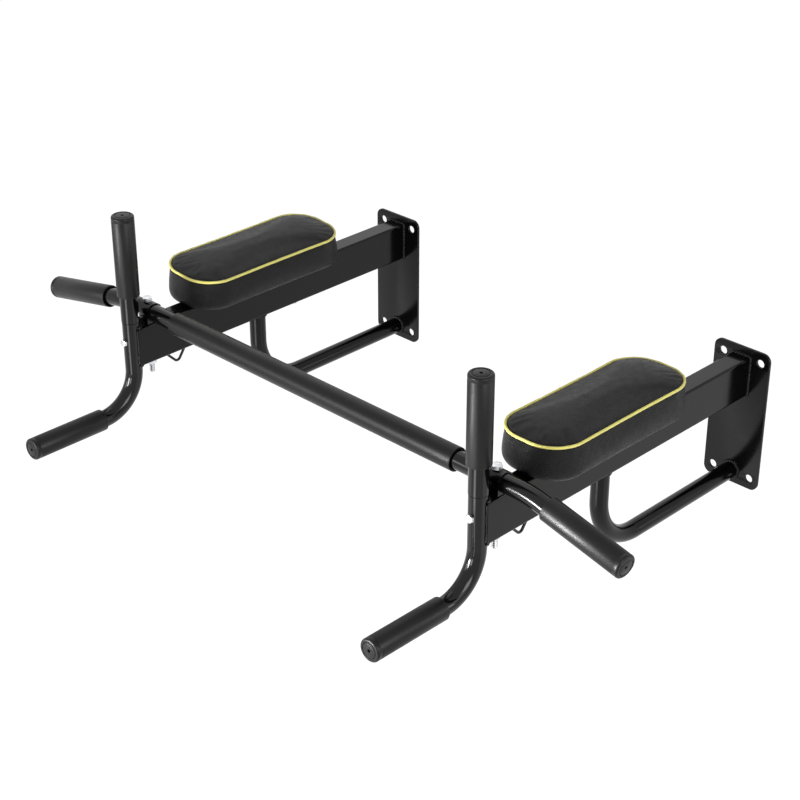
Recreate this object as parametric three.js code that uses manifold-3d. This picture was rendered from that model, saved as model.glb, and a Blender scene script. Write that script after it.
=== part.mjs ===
// Wall-mounted dip station: two welded arms carry forearm pads, dip handles, upright grips
// and one pull-up bar that bolts across them. Millimetres, +Z up.
// The origin lies in the wall's plane, midway between the arms and level with their tops.
// X runs along the wall and -Y comes straight out of it.
import * as THREE from 'three';
import { mergeVertices } from 'three/addons/utils/BufferGeometryUtils.js';
import Module from 'manifold-3d';

const wasm = await Module();
wasm.setup();

// Fit and facets
const CLEARANCE = 0.3;
const OVERRUN = 6;
const ROUND_SIDES = 24;
const HIDDEN_SIDES = 12;
const SMALL_SIDES = 10;
const HOLE_SIDES = 16;
const GRIP_SIDES = 20;
const CORNER_STEPS = 6;
const SEAT_STEPS = 5;
const BEND_STEP_ANGLE = THREE.MathUtils.degToRad(13);
const LEAST_BEND_STEPS = 3;

// Wall plate
const PLATE_WIDTH = 92;
const PLATE_THICKNESS = 4;
const PLATE_RISE = 12;
const PLATE_BELOW_BRACE = 20.2;
const PLATE_CORNER_RADIUS = 12;
const WALL_HOLE_DIAMETER = 12;
const WALL_HOLE_SIDE_INSET = 15;
const WALL_HOLE_END_INSET = 16.5;

// Arm, a rectangular tube
const STATION_SPACING = 670;
const ARM_WIDTH = 30;
const ARM_HEIGHT = 60;
const ARM_WALL = 2;
const ARM_CORNER_RADIUS = 4;
const ARM_END_OVERLAP = 1.6;
const ARM_CORNER_STEPS = 3;

// Brace under the arm
const BRACE_DIAMETER = 25;
const BRACE_WALL = 1.8;
const BRACE_REACH = 307.1;
const BRACE_DROP = 183.8;
const BRACE_BEND_RADIUS = 80;

// Dip handle tube at the arm's front end
const HANDLE_REACH = 543.6;
const HANDLE_DIAMETER = 25;
const HANDLE_WALL = 1.8;
const HANDLE_RISE = 8.7;
const HANDLE_DROP = 126.7;
const HANDLE_BEND_RADIUS = 60;
const DIP_GRIP_WALL = 2.9;
const DIP_GRIP_LENGTH = 122;
const DIP_GRIP_GAP = 3.1;

// Upright post above the handle tube, with the spigot that joins them
const POST_DIAMETER = 26;
const POST_WALL = 1.8;
const SPIGOT_WALL = 1.5;
const SPIGOT_DEPTH = 45;
const SPIGOT_HEIGHT = 38;
const UPRIGHT_GRIP_WALL = 2.95;
const UPRIGHT_GRIP_LENGTH = 121.5;
const UPRIGHT_GRIP_START = 40.5;
const POST_BOLT_DROP = 21;
const POST_BOLT_LENGTH = 14;
const POST_NUT_DIAMETER = 12.4;
const RIVET_HEIGHT = 20;
const RIVET_HEAD_DIAMETER = 6.4;
const RIVET_HEAD_HEIGHT = 1.9;
const RIVET_SHANK_DIAMETER = 4;
const RIVET_TAIL = 2;
const RIVET_TURN = THREE.MathUtils.degToRad(35);

// Moulded foam grips
const GRIP_EDGE = 0.8;
const GRIP_SHOULDER = 3;
const GRIP_CAP_THICKNESS = 5;
const GRIP_CAP_INSET = 5.2;
const GRIP_GROOVE_WIDTH = 1.6;
const GRIP_GROOVE_DEPTH = 0.9;
const GRIP_VENT_DIAMETER = 4;

// Pull-up bar and its seats on the arms
const BAR_DIAMETER = 25.4;
const BAR_WALL = 1.8;
const BAR_BEND_OFFSET = 53;
const BAR_BEND_RADIUS = 200;
const BAR_BEND_ANGLE = THREE.MathUtils.degToRad(10.7);
const BAR_BEND_LEAN = THREE.MathUtils.degToRad(18);
const BAR_GRIP_WALL = 3.2;
const CENTER_GRIP_MARGIN = 49;
const END_GRIP_START = 31.8;
const END_GRIP_LENGTH = 125;
const CRADLE_FLOOR = 2.1;
const CRADLE_LENGTH = 27;
const CRADLE_HALF_ANGLE = THREE.MathUtils.degToRad(67.4);
const SADDLE_THICKNESS = 1.6;
const SADDLE_LENGTH = 30;
const SADDLE_HALF_ANGLE = THREE.MathUtils.degToRad(68);
const SADDLE_POST_GAP = 4.6;

// Hexagon fasteners: a large size for the bar and the pads, a small one for the post
const BOLT_HOLE_SLACK = 0.5;
const HEX_CHAMFER = 0.9;
const LARGE_BOLT_DIAMETER = 8;
const LARGE_ACROSS_FLATS = 13;
const LARGE_HEAD_HEIGHT = 5.3;
const LARGE_NUT_HEIGHT = 6.5;
const SMALL_BOLT_DIAMETER = 6;
const SMALL_ACROSS_FLATS = 10;
const SMALL_HEAD_HEIGHT = 4;
const SMALL_NUT_HEIGHT = 5;
const BOLT_TAIL = 15;
const WASHER_DIAMETER = 17;
const WASHER_THICKNESS = 1.6;

// Forearm pad. Its tee nuts lie off its middle, so on one side it sits nearer the wall
const PAD_WIDTH = 117.5;
const PAD_LENGTH = 287.5;
const PAD_SETBACK = 51.6;
const PAD_STAGGER = 8;
const PAD_CORNER_RADIUS = 49;
const PAD_SEAM_HEIGHT = 49.2;
const PAD_CROWN = 5;
const PAD_SHOULDER = 4.3;
const PAD_TUCK = 6;
const PAD_WAIST = 0.8;
const COVER_THICKNESS = 1.2;
const COVER_LIP = 18;
const PIPING_DIAMETER = 3.4;
const PIPING_SIDES = 6;
const BOARD_THICKNESS = 12;
const TNUT_FLANGE_DIAMETER = 20;
const TNUT_FLANGE_THICKNESS = 1.5;
const TNUT_BARREL_WALL = 1.2;
const TNUT_BARREL_LENGTH = 9;
const PAD_SCREW_INSET = 62.8;
const PAD_SCREW_RECESS = 1;

// Shares that shape the pad's side from its foot to its seam, and its rings
const PAD_SIDE_SHARES = [0, 0.06, 0.14, 0.28, 0.6, 0.86];
const PAD_INNER_SIDE_SHARES = [0, 0.12, 0.3, 0.75];
const PAD_WIDEST_SHARE = 0.28;
const PAD_CROWN_SHARES = [0.12, 0.35, 0.65, 0.94];
const PAD_INNER_CROWN_SHARES = [0.12, 0.45, 0.94];
const PAD_CORNER_STEPS = 5;
const PAD_SIDE_STEPS = 4;

// Hook for bands under the arm's front end
const HOOK_WIRE_DIAMETER = 4;
const HOOK_SETBACK = 47.5;
const HOOK_FRONT_RUN = 25;
const HOOK_REAR_RUN = 17.5;
const HOOK_DEPTH = 25;
const HOOK_BEND_RADIUS = 6;

// Weld beads
const WELD_LEG = 4;
const WELD_BULGE = 0.5;

// Places that follow from the sizes above
const handleRadius = HANDLE_DIAMETER / 2;
const postRadius = POST_DIAMETER / 2;
const braceRadius = BRACE_DIAMETER / 2;
const barRadius = BAR_DIAMETER / 2;
const holeRadius = (diameter) => diameter / 2 + BOLT_HOLE_SLACK;
const boreRadius = (diameter) => diameter / 2 + CLEARANCE;
const handleY = -HANDLE_REACH;
const plateFaceY = -PLATE_THICKNESS - CLEARANCE;
const armEndY = handleY + ARM_END_OVERLAP;
const saddleOuterRadius = barRadius + CLEARANCE + SADDLE_THICKNESS;
const barY = handleY + postRadius + SADDLE_POST_GAP + saddleOuterRadius;
const barZ = CLEARANCE + CRADLE_FLOOR + CLEARANCE + barRadius;
const padFrontY = barY + PAD_SETBACK;
const padMiddleY = padFrontY + PAD_LENGTH / 2;
const padScrewYs = [padFrontY + PAD_SCREW_INSET, padFrontY + PAD_LENGTH - PAD_SCREW_INSET];
const boardBottomZ = CLEARANCE + COVER_THICKNESS + CLEARANCE;
const boardTopZ = boardBottomZ + BOARD_THICKNESS;
const underArmZ = -ARM_HEIGHT - CLEARANCE;
const centerGripLength = STATION_SPACING - SADDLE_LENGTH - 2 * CENTER_GRIP_MARGIN;

// Materials
function finish(color, roughness, metalness) {
  return new THREE.MeshStandardMaterial({ color, roughness, metalness });
}
const satinPaint = () => finish(0x161617, 0.42, 0.1);
const glossPaint = () => finish(0x101012, 0.22, 0.1);
const foamRubber = () => finish(0x171717, 0.6, 0);
const zinc = () => finish(0xb9bcc0, 0.3, 1);
const innerSteel = () => finish(0x6f7276, 0.4, 1);
const leatherette = () => finish(0x1d1d1f, 0.5, 0);
const yellowPiping = () => finish(0xe8c81a, 0.4, 0);
const plywood = () => finish(0xb08a5a, 0.7, 0);
const paleFoam = () => finish(0xd9d2bd, 0.95, 0);

// Closed bodies and booleans
function signedVolume(geometry) {
  const position = geometry.getAttribute('position');
  const index = geometry.getIndex();
  const corners = [new THREE.Vector3(), new THREE.Vector3(), new THREE.Vector3()];
  let sum = 0;
  for (let i = 0; i < index.count; i += 3) {
    corners.forEach((corner, k) => corner.fromBufferAttribute(position, index.getX(i + k)));
    sum += corners[0].dot(corners[1].clone().cross(corners[2]));
  }
  return sum;
}

function welded(geometry) {
  const bare = geometry.clone();
  bare.deleteAttribute('normal');
  bare.deleteAttribute('uv');
  const merged = mergeVertices(bare);
  if (signedVolume(merged) < 0) {
    merged.getIndex().array.reverse();
  }
  return merged;
}

function solidOf(geometry) {
  const body = welded(geometry);
  return new wasm.Manifold(new wasm.Mesh({
    numProp: 3,
    vertProperties: new Float32Array(body.getAttribute('position').array),
    triVerts: new Uint32Array(body.getIndex().array),
  }));
}

function geometryOf(solid) {
  const mesh = solid.getMesh();
  const geometry = new THREE.BufferGeometry();
  geometry.setAttribute('position', new THREE.BufferAttribute(mesh.vertProperties, mesh.numProp));
  geometry.setIndex(new THREE.BufferAttribute(mesh.triVerts, 1));
  return geometry;
}

function cut(geometry, ...tools) {
  return geometryOf(tools.reduce((solid, tool) => solid.subtract(solidOf(tool)), solidOf(geometry)));
}

function join(...geometries) {
  const solids = geometries.map(solidOf);
  return geometryOf(solids.reduce((whole, solid) => whole.add(solid)));
}

// Outlines, as lists of points that run once round
function circle(radius, sides = ROUND_SIDES) {
  return Array.from({ length: sides }, (_, i) => {
    const angle = (i / sides) * 2 * Math.PI;
    return new THREE.Vector2(radius * Math.cos(angle), radius * Math.sin(angle));
  });
}

function roundedRectangle(width, length, radius, cornerSteps, sideSteps = 1, waist = 0) {
  const halfX = width / 2;
  const halfY = length / 2;
  const r = Math.min(radius, halfX, halfY);
  const points = [];
  const centres = [[1, 1], [-1, 1], [-1, -1], [1, -1]];
  centres.forEach(([sx, sy], corner) => {
    for (let i = 0; i <= cornerSteps; i++) {
      const angle = (corner + i / cornerSteps) * (Math.PI / 2);
      const x = sx * (halfX - r) + r * Math.cos(angle);
      points.push(new THREE.Vector2(x, sy * (halfY - r) + r * Math.sin(angle)));
    }
    const onLongSide = sx < 0 === sy > 0;
    for (let i = 1; onLongSide && i < sideSteps; i++) {
      const share = 1 - (2 * i) / sideSteps;
      const inward = waist * (1 - share * share);
      points.push(new THREE.Vector2(sx * (halfX - inward), sy * share * (halfY - r)));
    }
  });
  return points;
}

// Extrusions and turned pieces, whose axis is Z unless a name says otherwise
function prism(outline, depth, holes = []) {
  const shape = new THREE.Shape(outline);
  shape.holes = holes.map((hole) => new THREE.Path(hole));
  return new THREE.ExtrudeGeometry(shape, { depth, bevelEnabled: false });
}

function pipe(outerRadius, innerRadius, length) {
  return prism(circle(outerRadius), length, [circle(innerRadius)]);
}

function rod(radius, length, sides = SMALL_SIDES) {
  return prism(circle(radius, sides), length);
}

// A cutter whose flats, not its corners, lie on the radius; it starts an overrun below its origin
function drill(radius, length, sides = SMALL_SIDES) {
  return rod(radius / Math.cos(Math.PI / sides), length + 2 * OVERRUN, sides).translate(0, 0, -OVERRUN);
}

function turned(profile, sides = ROUND_SIDES) {
  const points = profile.map(([radius, height]) => new THREE.Vector2(radius, height));
  return new THREE.LatheGeometry(points, sides).rotateX(Math.PI / 2);
}

// A body made of rings: each step of the profile offsets the outline and sets its height
function ringBody(outlineAt, profile, looped) {
  const rings = profile.map(([offset, height]) => outlineAt(offset).map((p) => [p.x, p.y, height]));
  const size = rings[0].length;
  const index = [];
  const last = looped ? rings.length : rings.length - 1;
  for (let r = 0; r < last; r++) {
    const near = r * size;
    const far = ((r + 1) % rings.length) * size;
    for (let i = 0; i < size; i++) {
      const j = (i + 1) % size;
      index.push(near + i, near + j, far + j, near + i, far + j, far + i);
    }
  }
  if (!looped) {
    const capOf = (r) => THREE.ShapeUtils.triangulateShape(outlineAt(profile[r][0]), []);
    const end = rings.length - 1;
    capOf(0).forEach(([a, b, c]) => index.push(c, b, a));
    capOf(end).forEach(([a, b, c]) => index.push(end * size + a, end * size + b, end * size + c));
  }
  const geometry = new THREE.BufferGeometry();
  geometry.setAttribute('position', new THREE.Float32BufferAttribute(rings.flat(2), 3));
  geometry.setIndex(index);
  return geometry;
}

// Centre line of a bent tube: one step on each straight run and several round each bend
class BentLine extends THREE.Curve {
  constructor(corners, radius) {
    super();
    this.stations = [{ point: corners[0], tangent: BentLine.heading(corners[0], corners[1]) }];
    for (let i = 1; i < corners.length - 1; i++) {
      this.addBend(corners[i - 1], corners[i], corners[i + 1], radius);
    }
    const [before, end] = corners.slice(-2);
    this.stations.push({ point: end, tangent: BentLine.heading(before, end) });
  }

  static heading(from, to) {
    return to.clone().sub(from).normalize();
  }

  addBend(before, corner, after, radius) {
    const inward = BentLine.heading(before, corner);
    const outward = BentLine.heading(corner, after);
    const axis = inward.clone().cross(outward).normalize();
    const angle = inward.angleTo(outward);
    const start = corner.clone().addScaledVector(inward, -radius * Math.tan(angle / 2));
    const centre = start.clone().addScaledVector(axis.clone().cross(inward), radius);
    const steps = Math.max(Math.ceil(angle / BEND_STEP_ANGLE), LEAST_BEND_STEPS);
    for (let k = 0; k <= steps; k++) {
      const turn = (angle * k) / steps;
      const point = start.clone().sub(centre).applyAxisAngle(axis, turn).add(centre);
      this.stations.push({ point, tangent: inward.clone().applyAxisAngle(axis, turn) });
    }
  }

  get steps() {
    return this.stations.length - 1;
  }

  getPointAt(u, target = new THREE.Vector3()) {
    return target.copy(this.stations[Math.round(u * this.steps)].point);
  }

  getTangentAt(u, target = new THREE.Vector3()) {
    return target.copy(this.stations[Math.round(u * this.steps)].tangent);
  }
}

function sweep(line, outline, holes = []) {
  const shape = new THREE.Shape(outline);
  shape.holes = holes.map((hole) => new THREE.Path(hole));
  return new THREE.ExtrudeGeometry(shape, { steps: line.steps, extrudePath: line });
}

function bentPipe(line, outerRadius, innerRadius, innerSides = ROUND_SIDES) {
  return sweep(line, circle(outerRadius), [circle(innerRadius, innerSides)]);
}

// Scene graph helpers
function piece(parent, name, geometry, material) {
  const mesh = new THREE.Mesh(geometry, material);
  mesh.name = name;
  parent.add(mesh);
  return mesh;
}

function aim(object, origin, direction) {
  object.position.copy(origin);
  object.quaternion.setFromUnitVectors(new THREE.Vector3(0, 0, 1), direction.clone().normalize());
  return object;
}

function placed(geometry, origin, direction) {
  const frame = aim(new THREE.Object3D(), origin, direction);
  frame.updateMatrix();
  return geometry.applyMatrix4(frame.matrix);
}

const alongMinusY = new THREE.Vector3(0, -1, 0);

// Fasteners: the origin is under the head, whose axis is +Z, and the shank runs down -Z
function hexPrism(acrossFlats, height) {
  const corner = acrossFlats / 2 / Math.cos(Math.PI / 6);
  return turned([
    [0, 0],
    [corner, 0],
    [corner, height - HEX_CHAMFER],
    [corner - HEX_CHAMFER, height],
    [0, height],
  ], 6);
}

function largeBolt(length) {
  const shank = rod(LARGE_BOLT_DIAMETER / 2, length + HEX_CHAMFER).translate(0, 0, -length);
  return join(hexPrism(LARGE_ACROSS_FLATS, LARGE_HEAD_HEIGHT), shank);
}

function smallBolt(length) {
  const shank = rod(SMALL_BOLT_DIAMETER / 2, length + HEX_CHAMFER).translate(0, 0, -length);
  return join(hexPrism(SMALL_ACROSS_FLATS, SMALL_HEAD_HEIGHT), shank);
}

function largeNut() {
  const bore = drill(boreRadius(LARGE_BOLT_DIAMETER), LARGE_NUT_HEIGHT);
  return cut(hexPrism(LARGE_ACROSS_FLATS, LARGE_NUT_HEIGHT), bore);
}

function largeBoltDrill(length) {
  return drill(holeRadius(LARGE_BOLT_DIAMETER), length);
}

function washer() {
  const radius = WASHER_DIAMETER / 2;
  return cut(rod(radius, WASHER_THICKNESS, HOLE_SIDES), largeBoltDrill(WASHER_THICKNESS));
}

// Foam grip on a tube: open at its foot, with a closed and vented end
function closedGrip(wall, tubeRadius, length) {
  const inner = tubeRadius + CLEARANCE;
  const outer = inner + wall;
  const groove = outer - GRIP_CAP_INSET;
  const vent = GRIP_VENT_DIAMETER / 2;
  const quarter = GRIP_SHOULDER * Math.SQRT1_2;
  return turned([
    [inner, 0],
    [outer - GRIP_EDGE, 0],
    [outer, GRIP_EDGE],
    [outer, length - GRIP_SHOULDER],
    [outer - GRIP_SHOULDER + quarter, length - GRIP_SHOULDER + quarter],
    [outer - GRIP_SHOULDER, length],
    [groove + GRIP_GROOVE_WIDTH / 2, length],
    [groove, length - GRIP_GROOVE_DEPTH],
    [groove - GRIP_GROOVE_WIDTH / 2, length],
    [vent, length],
    [vent, length - GRIP_CAP_THICKNESS],
    [inner, length - GRIP_CAP_THICKNESS],
    [inner, 0],
  ], GRIP_SIDES);
}

function sleeveGrip(wall, tubeRadius, length) {
  const inner = tubeRadius + CLEARANCE;
  const outer = inner + wall;
  return turned([
    [inner, 0],
    [outer - GRIP_EDGE, 0],
    [outer, GRIP_EDGE],
    [outer, length - GRIP_EDGE],
    [outer - GRIP_EDGE, length],
    [inner, length],
    [inner, 0],
  ], GRIP_SIDES);
}

const gripTubeReach = (length) => length - GRIP_CAP_THICKNESS - CLEARANCE;

function armOutline(offset) {
  return roundedRectangle(
    ARM_WIDTH + 2 * offset, ARM_HEIGHT + 2 * offset, Math.max(ARM_CORNER_RADIUS + offset, CLEARANCE),
    ARM_CORNER_STEPS);
}

// Weld beads. Each is joined to the piece that carries it and stays clear of the other one
// A fillet round an outline: it spreads along its foot, at height zero, and climbs up +Z
function filletRing(outlineAt, leg, inner, foot) {
  const middle = leg / 2 + WELD_BULGE;
  return ringBody(outlineAt, [[inner, foot], [leg, foot], [middle, middle], [inner, leg]], true);
}

const roundOutline = (radius) => (offset) => circle(radius + offset);

// Upright bead in the corner between the handle tube and the end of one wall of the arm
function sideBead(side) {
  const back = armEndY - handleY - CLEARANCE;
  const root = handleRadius - CLEARANCE;
  const outline = [
    new THREE.Vector2(side * root, back),
    new THREE.Vector2(side * (ARM_WIDTH / 2 - CLEARANCE), back),
    new THREE.Vector2(side * (handleRadius + CLEARANCE), back - WELD_LEG),
    new THREE.Vector2(side * root, back - WELD_LEG),
  ];
  const height = ARM_HEIGHT - 2 * ARM_CORNER_RADIUS;
  return prism(outline, height).translate(0, handleY, -ARM_HEIGHT + ARM_CORNER_RADIUS);
}

// Wall plate, drawn in X and Z and extruded out from the wall
function wallPlate() {
  const height = PLATE_RISE + BRACE_DROP + PLATE_BELOW_BRACE;
  const middleZ = PLATE_RISE - height / 2;
  const outline = roundedRectangle(PLATE_WIDTH, height, PLATE_CORNER_RADIUS, CORNER_STEPS);
  const holeX = PLATE_WIDTH / 2 - WALL_HOLE_SIDE_INSET;
  const holeZ = height / 2 - WALL_HOLE_END_INSET;
  const holes = [[1, 1], [-1, 1], [-1, -1], [1, -1]].map(([sx, sz]) => {
    const centre = new THREE.Vector2(sx * holeX, sz * holeZ);
    return circle(WALL_HOLE_DIAMETER / 2, HOLE_SIDES).map((p) => p.add(centre));
  });
  const plate = prism(outline, PLATE_THICKNESS, holes).rotateX(Math.PI / 2).translate(0, 0, middleZ);
  const armBead = filletRing(armOutline, WELD_LEG, CLEARANCE, -CLEARANCE)
    .rotateX(Math.PI / 2)
    .translate(0, -PLATE_THICKNESS, -ARM_HEIGHT / 2);
  const braceBead = filletRing(roundOutline(braceRadius), WELD_LEG, CLEARANCE, -CLEARANCE)
    .rotateX(Math.PI / 2)
    .translate(0, -PLATE_THICKNESS, -BRACE_DROP);
  return join(plate, armBead, braceBead);
}

// Arm: coped round the handle tube, drilled for the bar's bolt and the pad's screws
function armTube() {
  const length = plateFaceY - armEndY;
  const tube = prism(armOutline(0), length, [armOutline(-ARM_WALL)])
    .rotateX(Math.PI / 2)
    .translate(0, plateFaceY, -ARM_HEIGHT / 2);
  const cope = drill(handleRadius + CLEARANCE, ARM_HEIGHT, ROUND_SIDES).translate(0, handleY, -ARM_HEIGHT);
  const drills = [barY, ...padScrewYs].map((y) =>
    largeBoltDrill(ARM_HEIGHT).translate(0, y, -ARM_HEIGHT));
  return cut(tube, cope, ...drills);
}

function braceTube() {
  const line = new BentLine([
    new THREE.Vector3(0, -BRACE_REACH, underArmZ),
    new THREE.Vector3(0, -BRACE_REACH, -BRACE_DROP),
    new THREE.Vector3(0, plateFaceY, -BRACE_DROP),
  ], BRACE_BEND_RADIUS);
  const bead = filletRing(roundOutline(braceRadius), ARM_WIDTH / 2 - braceRadius, -CLEARANCE, 0)
    .rotateX(Math.PI)
    .translate(0, -BRACE_REACH, underArmZ);
  return join(bentPipe(line, braceRadius, braceRadius - BRACE_WALL, HIDDEN_SIDES), bead);
}

const dipGripY = handleY - HANDLE_BEND_RADIUS - DIP_GRIP_GAP;

function handleTube() {
  const line = new BentLine([
    new THREE.Vector3(0, handleY, HANDLE_RISE),
    new THREE.Vector3(0, handleY, -HANDLE_DROP),
    new THREE.Vector3(0, dipGripY - gripTubeReach(DIP_GRIP_LENGTH), -HANDLE_DROP),
  ], HANDLE_BEND_RADIUS);
  const topBead = filletRing(roundOutline(handleRadius), ARM_WIDTH / 2 - handleRadius, -CLEARANCE, 0)
    .translate(0, handleY, CLEARANCE);
  const frontHalf = new THREE.BoxGeometry(2 * ARM_WIDTH, 2 * ARM_WIDTH, 2 * ARM_WIDTH)
    .translate(0, armEndY - ARM_WIDTH, 0);
  const tube = bentPipe(line, handleRadius, handleRadius - HANDLE_WALL);
  return cut(join(tube, cut(topBead, frontHalf), sideBead(-1), sideBead(1)), postBoltDrill());
}

// Upright post, spigot, rivet and bolt
const postBottomZ = HANDLE_RISE + CLEARANCE;
const postLength = UPRIGHT_GRIP_START + gripTubeReach(UPRIGHT_GRIP_LENGTH);
const spigotRadius = Math.min(handleRadius - HANDLE_WALL, postRadius - POST_WALL) - CLEARANCE;
const spigotInnerRadius = spigotRadius - SPIGOT_WALL;

function rivetDirection(side) {
  return new THREE.Vector3(-side * Math.cos(RIVET_TURN), Math.sin(RIVET_TURN), 0);
}

function rivetDrill(side) {
  return placed(
    drill(RIVET_SHANK_DIAMETER / 2 + CLEARANCE, POST_DIAMETER),
    new THREE.Vector3(0, handleY, RIVET_HEIGHT), rivetDirection(side));
}

function postBoltDrill() {
  const hole = drill(holeRadius(SMALL_BOLT_DIAMETER), HANDLE_DIAMETER);
  return placed(hole, new THREE.Vector3(0, handleY, -POST_BOLT_DROP), alongMinusY);
}

function uprightPost(side) {
  const tube = pipe(postRadius, postRadius - POST_WALL, postLength).translate(0, handleY, postBottomZ);
  return cut(tube, rivetDrill(side));
}

function postSpigot(side) {
  const tube = pipe(spigotRadius, spigotInnerRadius, SPIGOT_DEPTH + SPIGOT_HEIGHT)
    .translate(0, handleY, HANDLE_RISE - SPIGOT_DEPTH);
  return cut(tube, postBoltDrill(), rivetDrill(side));
}

// Round nut welded in the spigot: its rim touches the spigot's bore
function postNut() {
  const bore = drill(boreRadius(SMALL_BOLT_DIAMETER), SMALL_NUT_HEIGHT);
  return cut(rod(POST_NUT_DIAMETER / 2, SMALL_NUT_HEIGHT, HIDDEN_SIDES), bore);
}

// Blind rivet whose origin is under its domed head
function rivet() {
  const grip = postRadius + CLEARANCE - spigotInnerRadius + RIVET_TAIL;
  const head = RIVET_HEAD_DIAMETER / 2;
  const shank = RIVET_SHANK_DIAMETER / 2;
  return turned([
    [0, -grip],
    [shank, -grip],
    [shank, 0],
    [head, 0],
    [head, RIVET_HEAD_HEIGHT / 3],
    [head * Math.SQRT1_2, (RIVET_HEAD_HEIGHT * 5) / 6],
    [0, RIVET_HEAD_HEIGHT],
  ], SMALL_SIDES);
}

// Pull-up bar across both arms, with its two raised seats
const bendX = STATION_SPACING / 2 + BAR_BEND_OFFSET;

function barEndDirection(side) {
  return new THREE.Vector3(
    side * Math.cos(BAR_BEND_ANGLE),
    -Math.sin(BAR_BEND_ANGLE) * Math.sin(BAR_BEND_LEAN),
    -Math.sin(BAR_BEND_ANGLE) * Math.cos(BAR_BEND_LEAN),
  );
}

function barBend(side) {
  return new THREE.Vector3(side * bendX, barY, barZ);
}

function pullUpBar() {
  const reach = END_GRIP_START + gripTubeReach(END_GRIP_LENGTH);
  const tip = (side) => barBend(side).addScaledVector(barEndDirection(side), reach);
  const line = new BentLine([tip(-1), barBend(-1), barBend(1), tip(1)], BAR_BEND_RADIUS);
  const drills = [-1, 1].map((side) =>
    largeBoltDrill(BAR_DIAMETER).translate((side * STATION_SPACING) / 2, barY, barZ - barRadius));
  return cut(bentPipe(line, barRadius, barRadius - BAR_WALL, HIDDEN_SIDES), ...drills);
}

// Shapes drawn across the bar and extruded along it, centred on the bar's axis
function acrossBar(shape, length) {
  return new THREE.ExtrudeGeometry(shape, { depth: length, bevelEnabled: false, curveSegments: SEAT_STEPS })
    .translate(0, 0, -length / 2)
    .rotateX(Math.PI / 2)
    .rotateZ(Math.PI / 2);
}

function barCradle() {
  const seat = barRadius + CLEARANCE;
  const half = seat * Math.sin(CRADLE_HALF_ANGLE);
  const down = -Math.PI / 2;
  const shape = new THREE.Shape();
  shape.moveTo(-half, CLEARANCE - barZ);
  shape.lineTo(half, CLEARANCE - barZ);
  shape.absarc(0, 0, seat, down + CRADLE_HALF_ANGLE, down - CRADLE_HALF_ANGLE, true);
  return cut(acrossBar(shape, CRADLE_LENGTH), largeBoltDrill(barZ).translate(0, 0, -barZ));
}

function barSaddle() {
  const seat = barRadius + CLEARANCE;
  const [from, to] = [Math.PI / 2 - SADDLE_HALF_ANGLE, Math.PI / 2 + SADDLE_HALF_ANGLE];
  const shape = new THREE.Shape();
  shape.absarc(0, 0, saddleOuterRadius, from, to, false);
  shape.absarc(0, 0, seat, to, from, true);
  return cut(acrossBar(shape, SADDLE_LENGTH), largeBoltDrill(saddleOuterRadius));
}

// Pad. Offsets are measured outwards from the pad's widest outline
function padOutline(offset) {
  return roundedRectangle(
    PAD_WIDTH + 2 * offset, PAD_LENGTH + 2 * offset, Math.max(PAD_CORNER_RADIUS + offset, CLEARANCE),
    PAD_CORNER_STEPS, PAD_SIDE_STEPS, PAD_WAIST);
}

function padSide(shares, skin) {
  return shares.map((share) => {
    const low = 1 - Math.sin((Math.min(share / PAD_WIDEST_SHARE, 1) * Math.PI) / 2);
    const rise = Math.max((share - PAD_WIDEST_SHARE) / (1 - PAD_WIDEST_SHARE), 0);
    const high = 1 - Math.cos((rise * Math.PI) / 2);
    const foot = CLEARANCE + skin;
    const top = PAD_SEAM_HEIGHT - PIPING_DIAMETER / 2;
    return [-skin - PAD_TUCK * low - PAD_SHOULDER * high, foot + share * (top - foot)];
  });
}

// The groove that the piping lies in, from below the piping round to its inner top
function padGroove() {
  const step = Math.PI / 4;
  const radius = (PIPING_DIAMETER / 2 + CLEARANCE) / Math.cos(step / 2);
  return [0, 1, 2, 3, 4].map((i) => {
    const angle = (-7 * Math.PI) / 12 - i * step;
    return [-PAD_SHOULDER + radius * Math.cos(angle), PAD_SEAM_HEIGHT + radius * Math.sin(angle)];
  });
}

function padTop(shares, skin) {
  const span = PAD_WIDTH / 2 - PAD_SHOULDER;
  return shares.map((share) => [
    -PAD_SHOULDER - PIPING_DIAMETER - share * (span - PIPING_DIAMETER),
    PAD_SEAM_HEIGHT + PIPING_DIAMETER / 2 - skin + PAD_CROWN * (1 - (1 - share) ** 2),
  ]);
}

// The cover's inner surface passes behind the groove
const padInside = [
  ...padSide(PAD_INNER_SIDE_SHARES, COVER_THICKNESS),
  [-PAD_SHOULDER - PIPING_DIAMETER - COVER_THICKNESS, PAD_SEAM_HEIGHT - PIPING_DIAMETER],
  ...padTop(PAD_INNER_CROWN_SHARES, COVER_THICKNESS),
];

function padCover() {
  const outside = [
    [-COVER_LIP, CLEARANCE],
    ...padSide(PAD_SIDE_SHARES, 0),
    ...padGroove(),
    ...padTop(PAD_CROWN_SHARES, 0),
  ];
  const inside = [[-COVER_LIP, CLEARANCE + COVER_THICKNESS], ...padInside];
  return ringBody(padOutline, [...inside.reverse(), ...outside], false);
}

// The foam fills the cover above the board
function padFoam() {
  const bottom = boardTopZ + CLEARANCE;
  const first = padInside.findIndex(([, height]) => height > bottom);
  const [[lowOffset, low], [highOffset, high]] = padInside.slice(first - 1);
  const share = (bottom - low) / (high - low);
  const foot = [lowOffset + share * (highOffset - lowOffset), bottom + CLEARANCE];
  const surface = [foot, ...padInside.slice(first)];
  const profile = surface.map(([offset, height]) => [offset - CLEARANCE, height - CLEARANCE]);
  return ringBody(padOutline, profile, false);
}

function padPiping() {
  const section = circle(PIPING_DIAMETER / 2, PIPING_SIDES);
  const profile = section.map((p) => [p.x - PAD_SHOULDER, p.y + PAD_SEAM_HEIGHT]);
  return ringBody(padOutline, profile, true);
}

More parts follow.
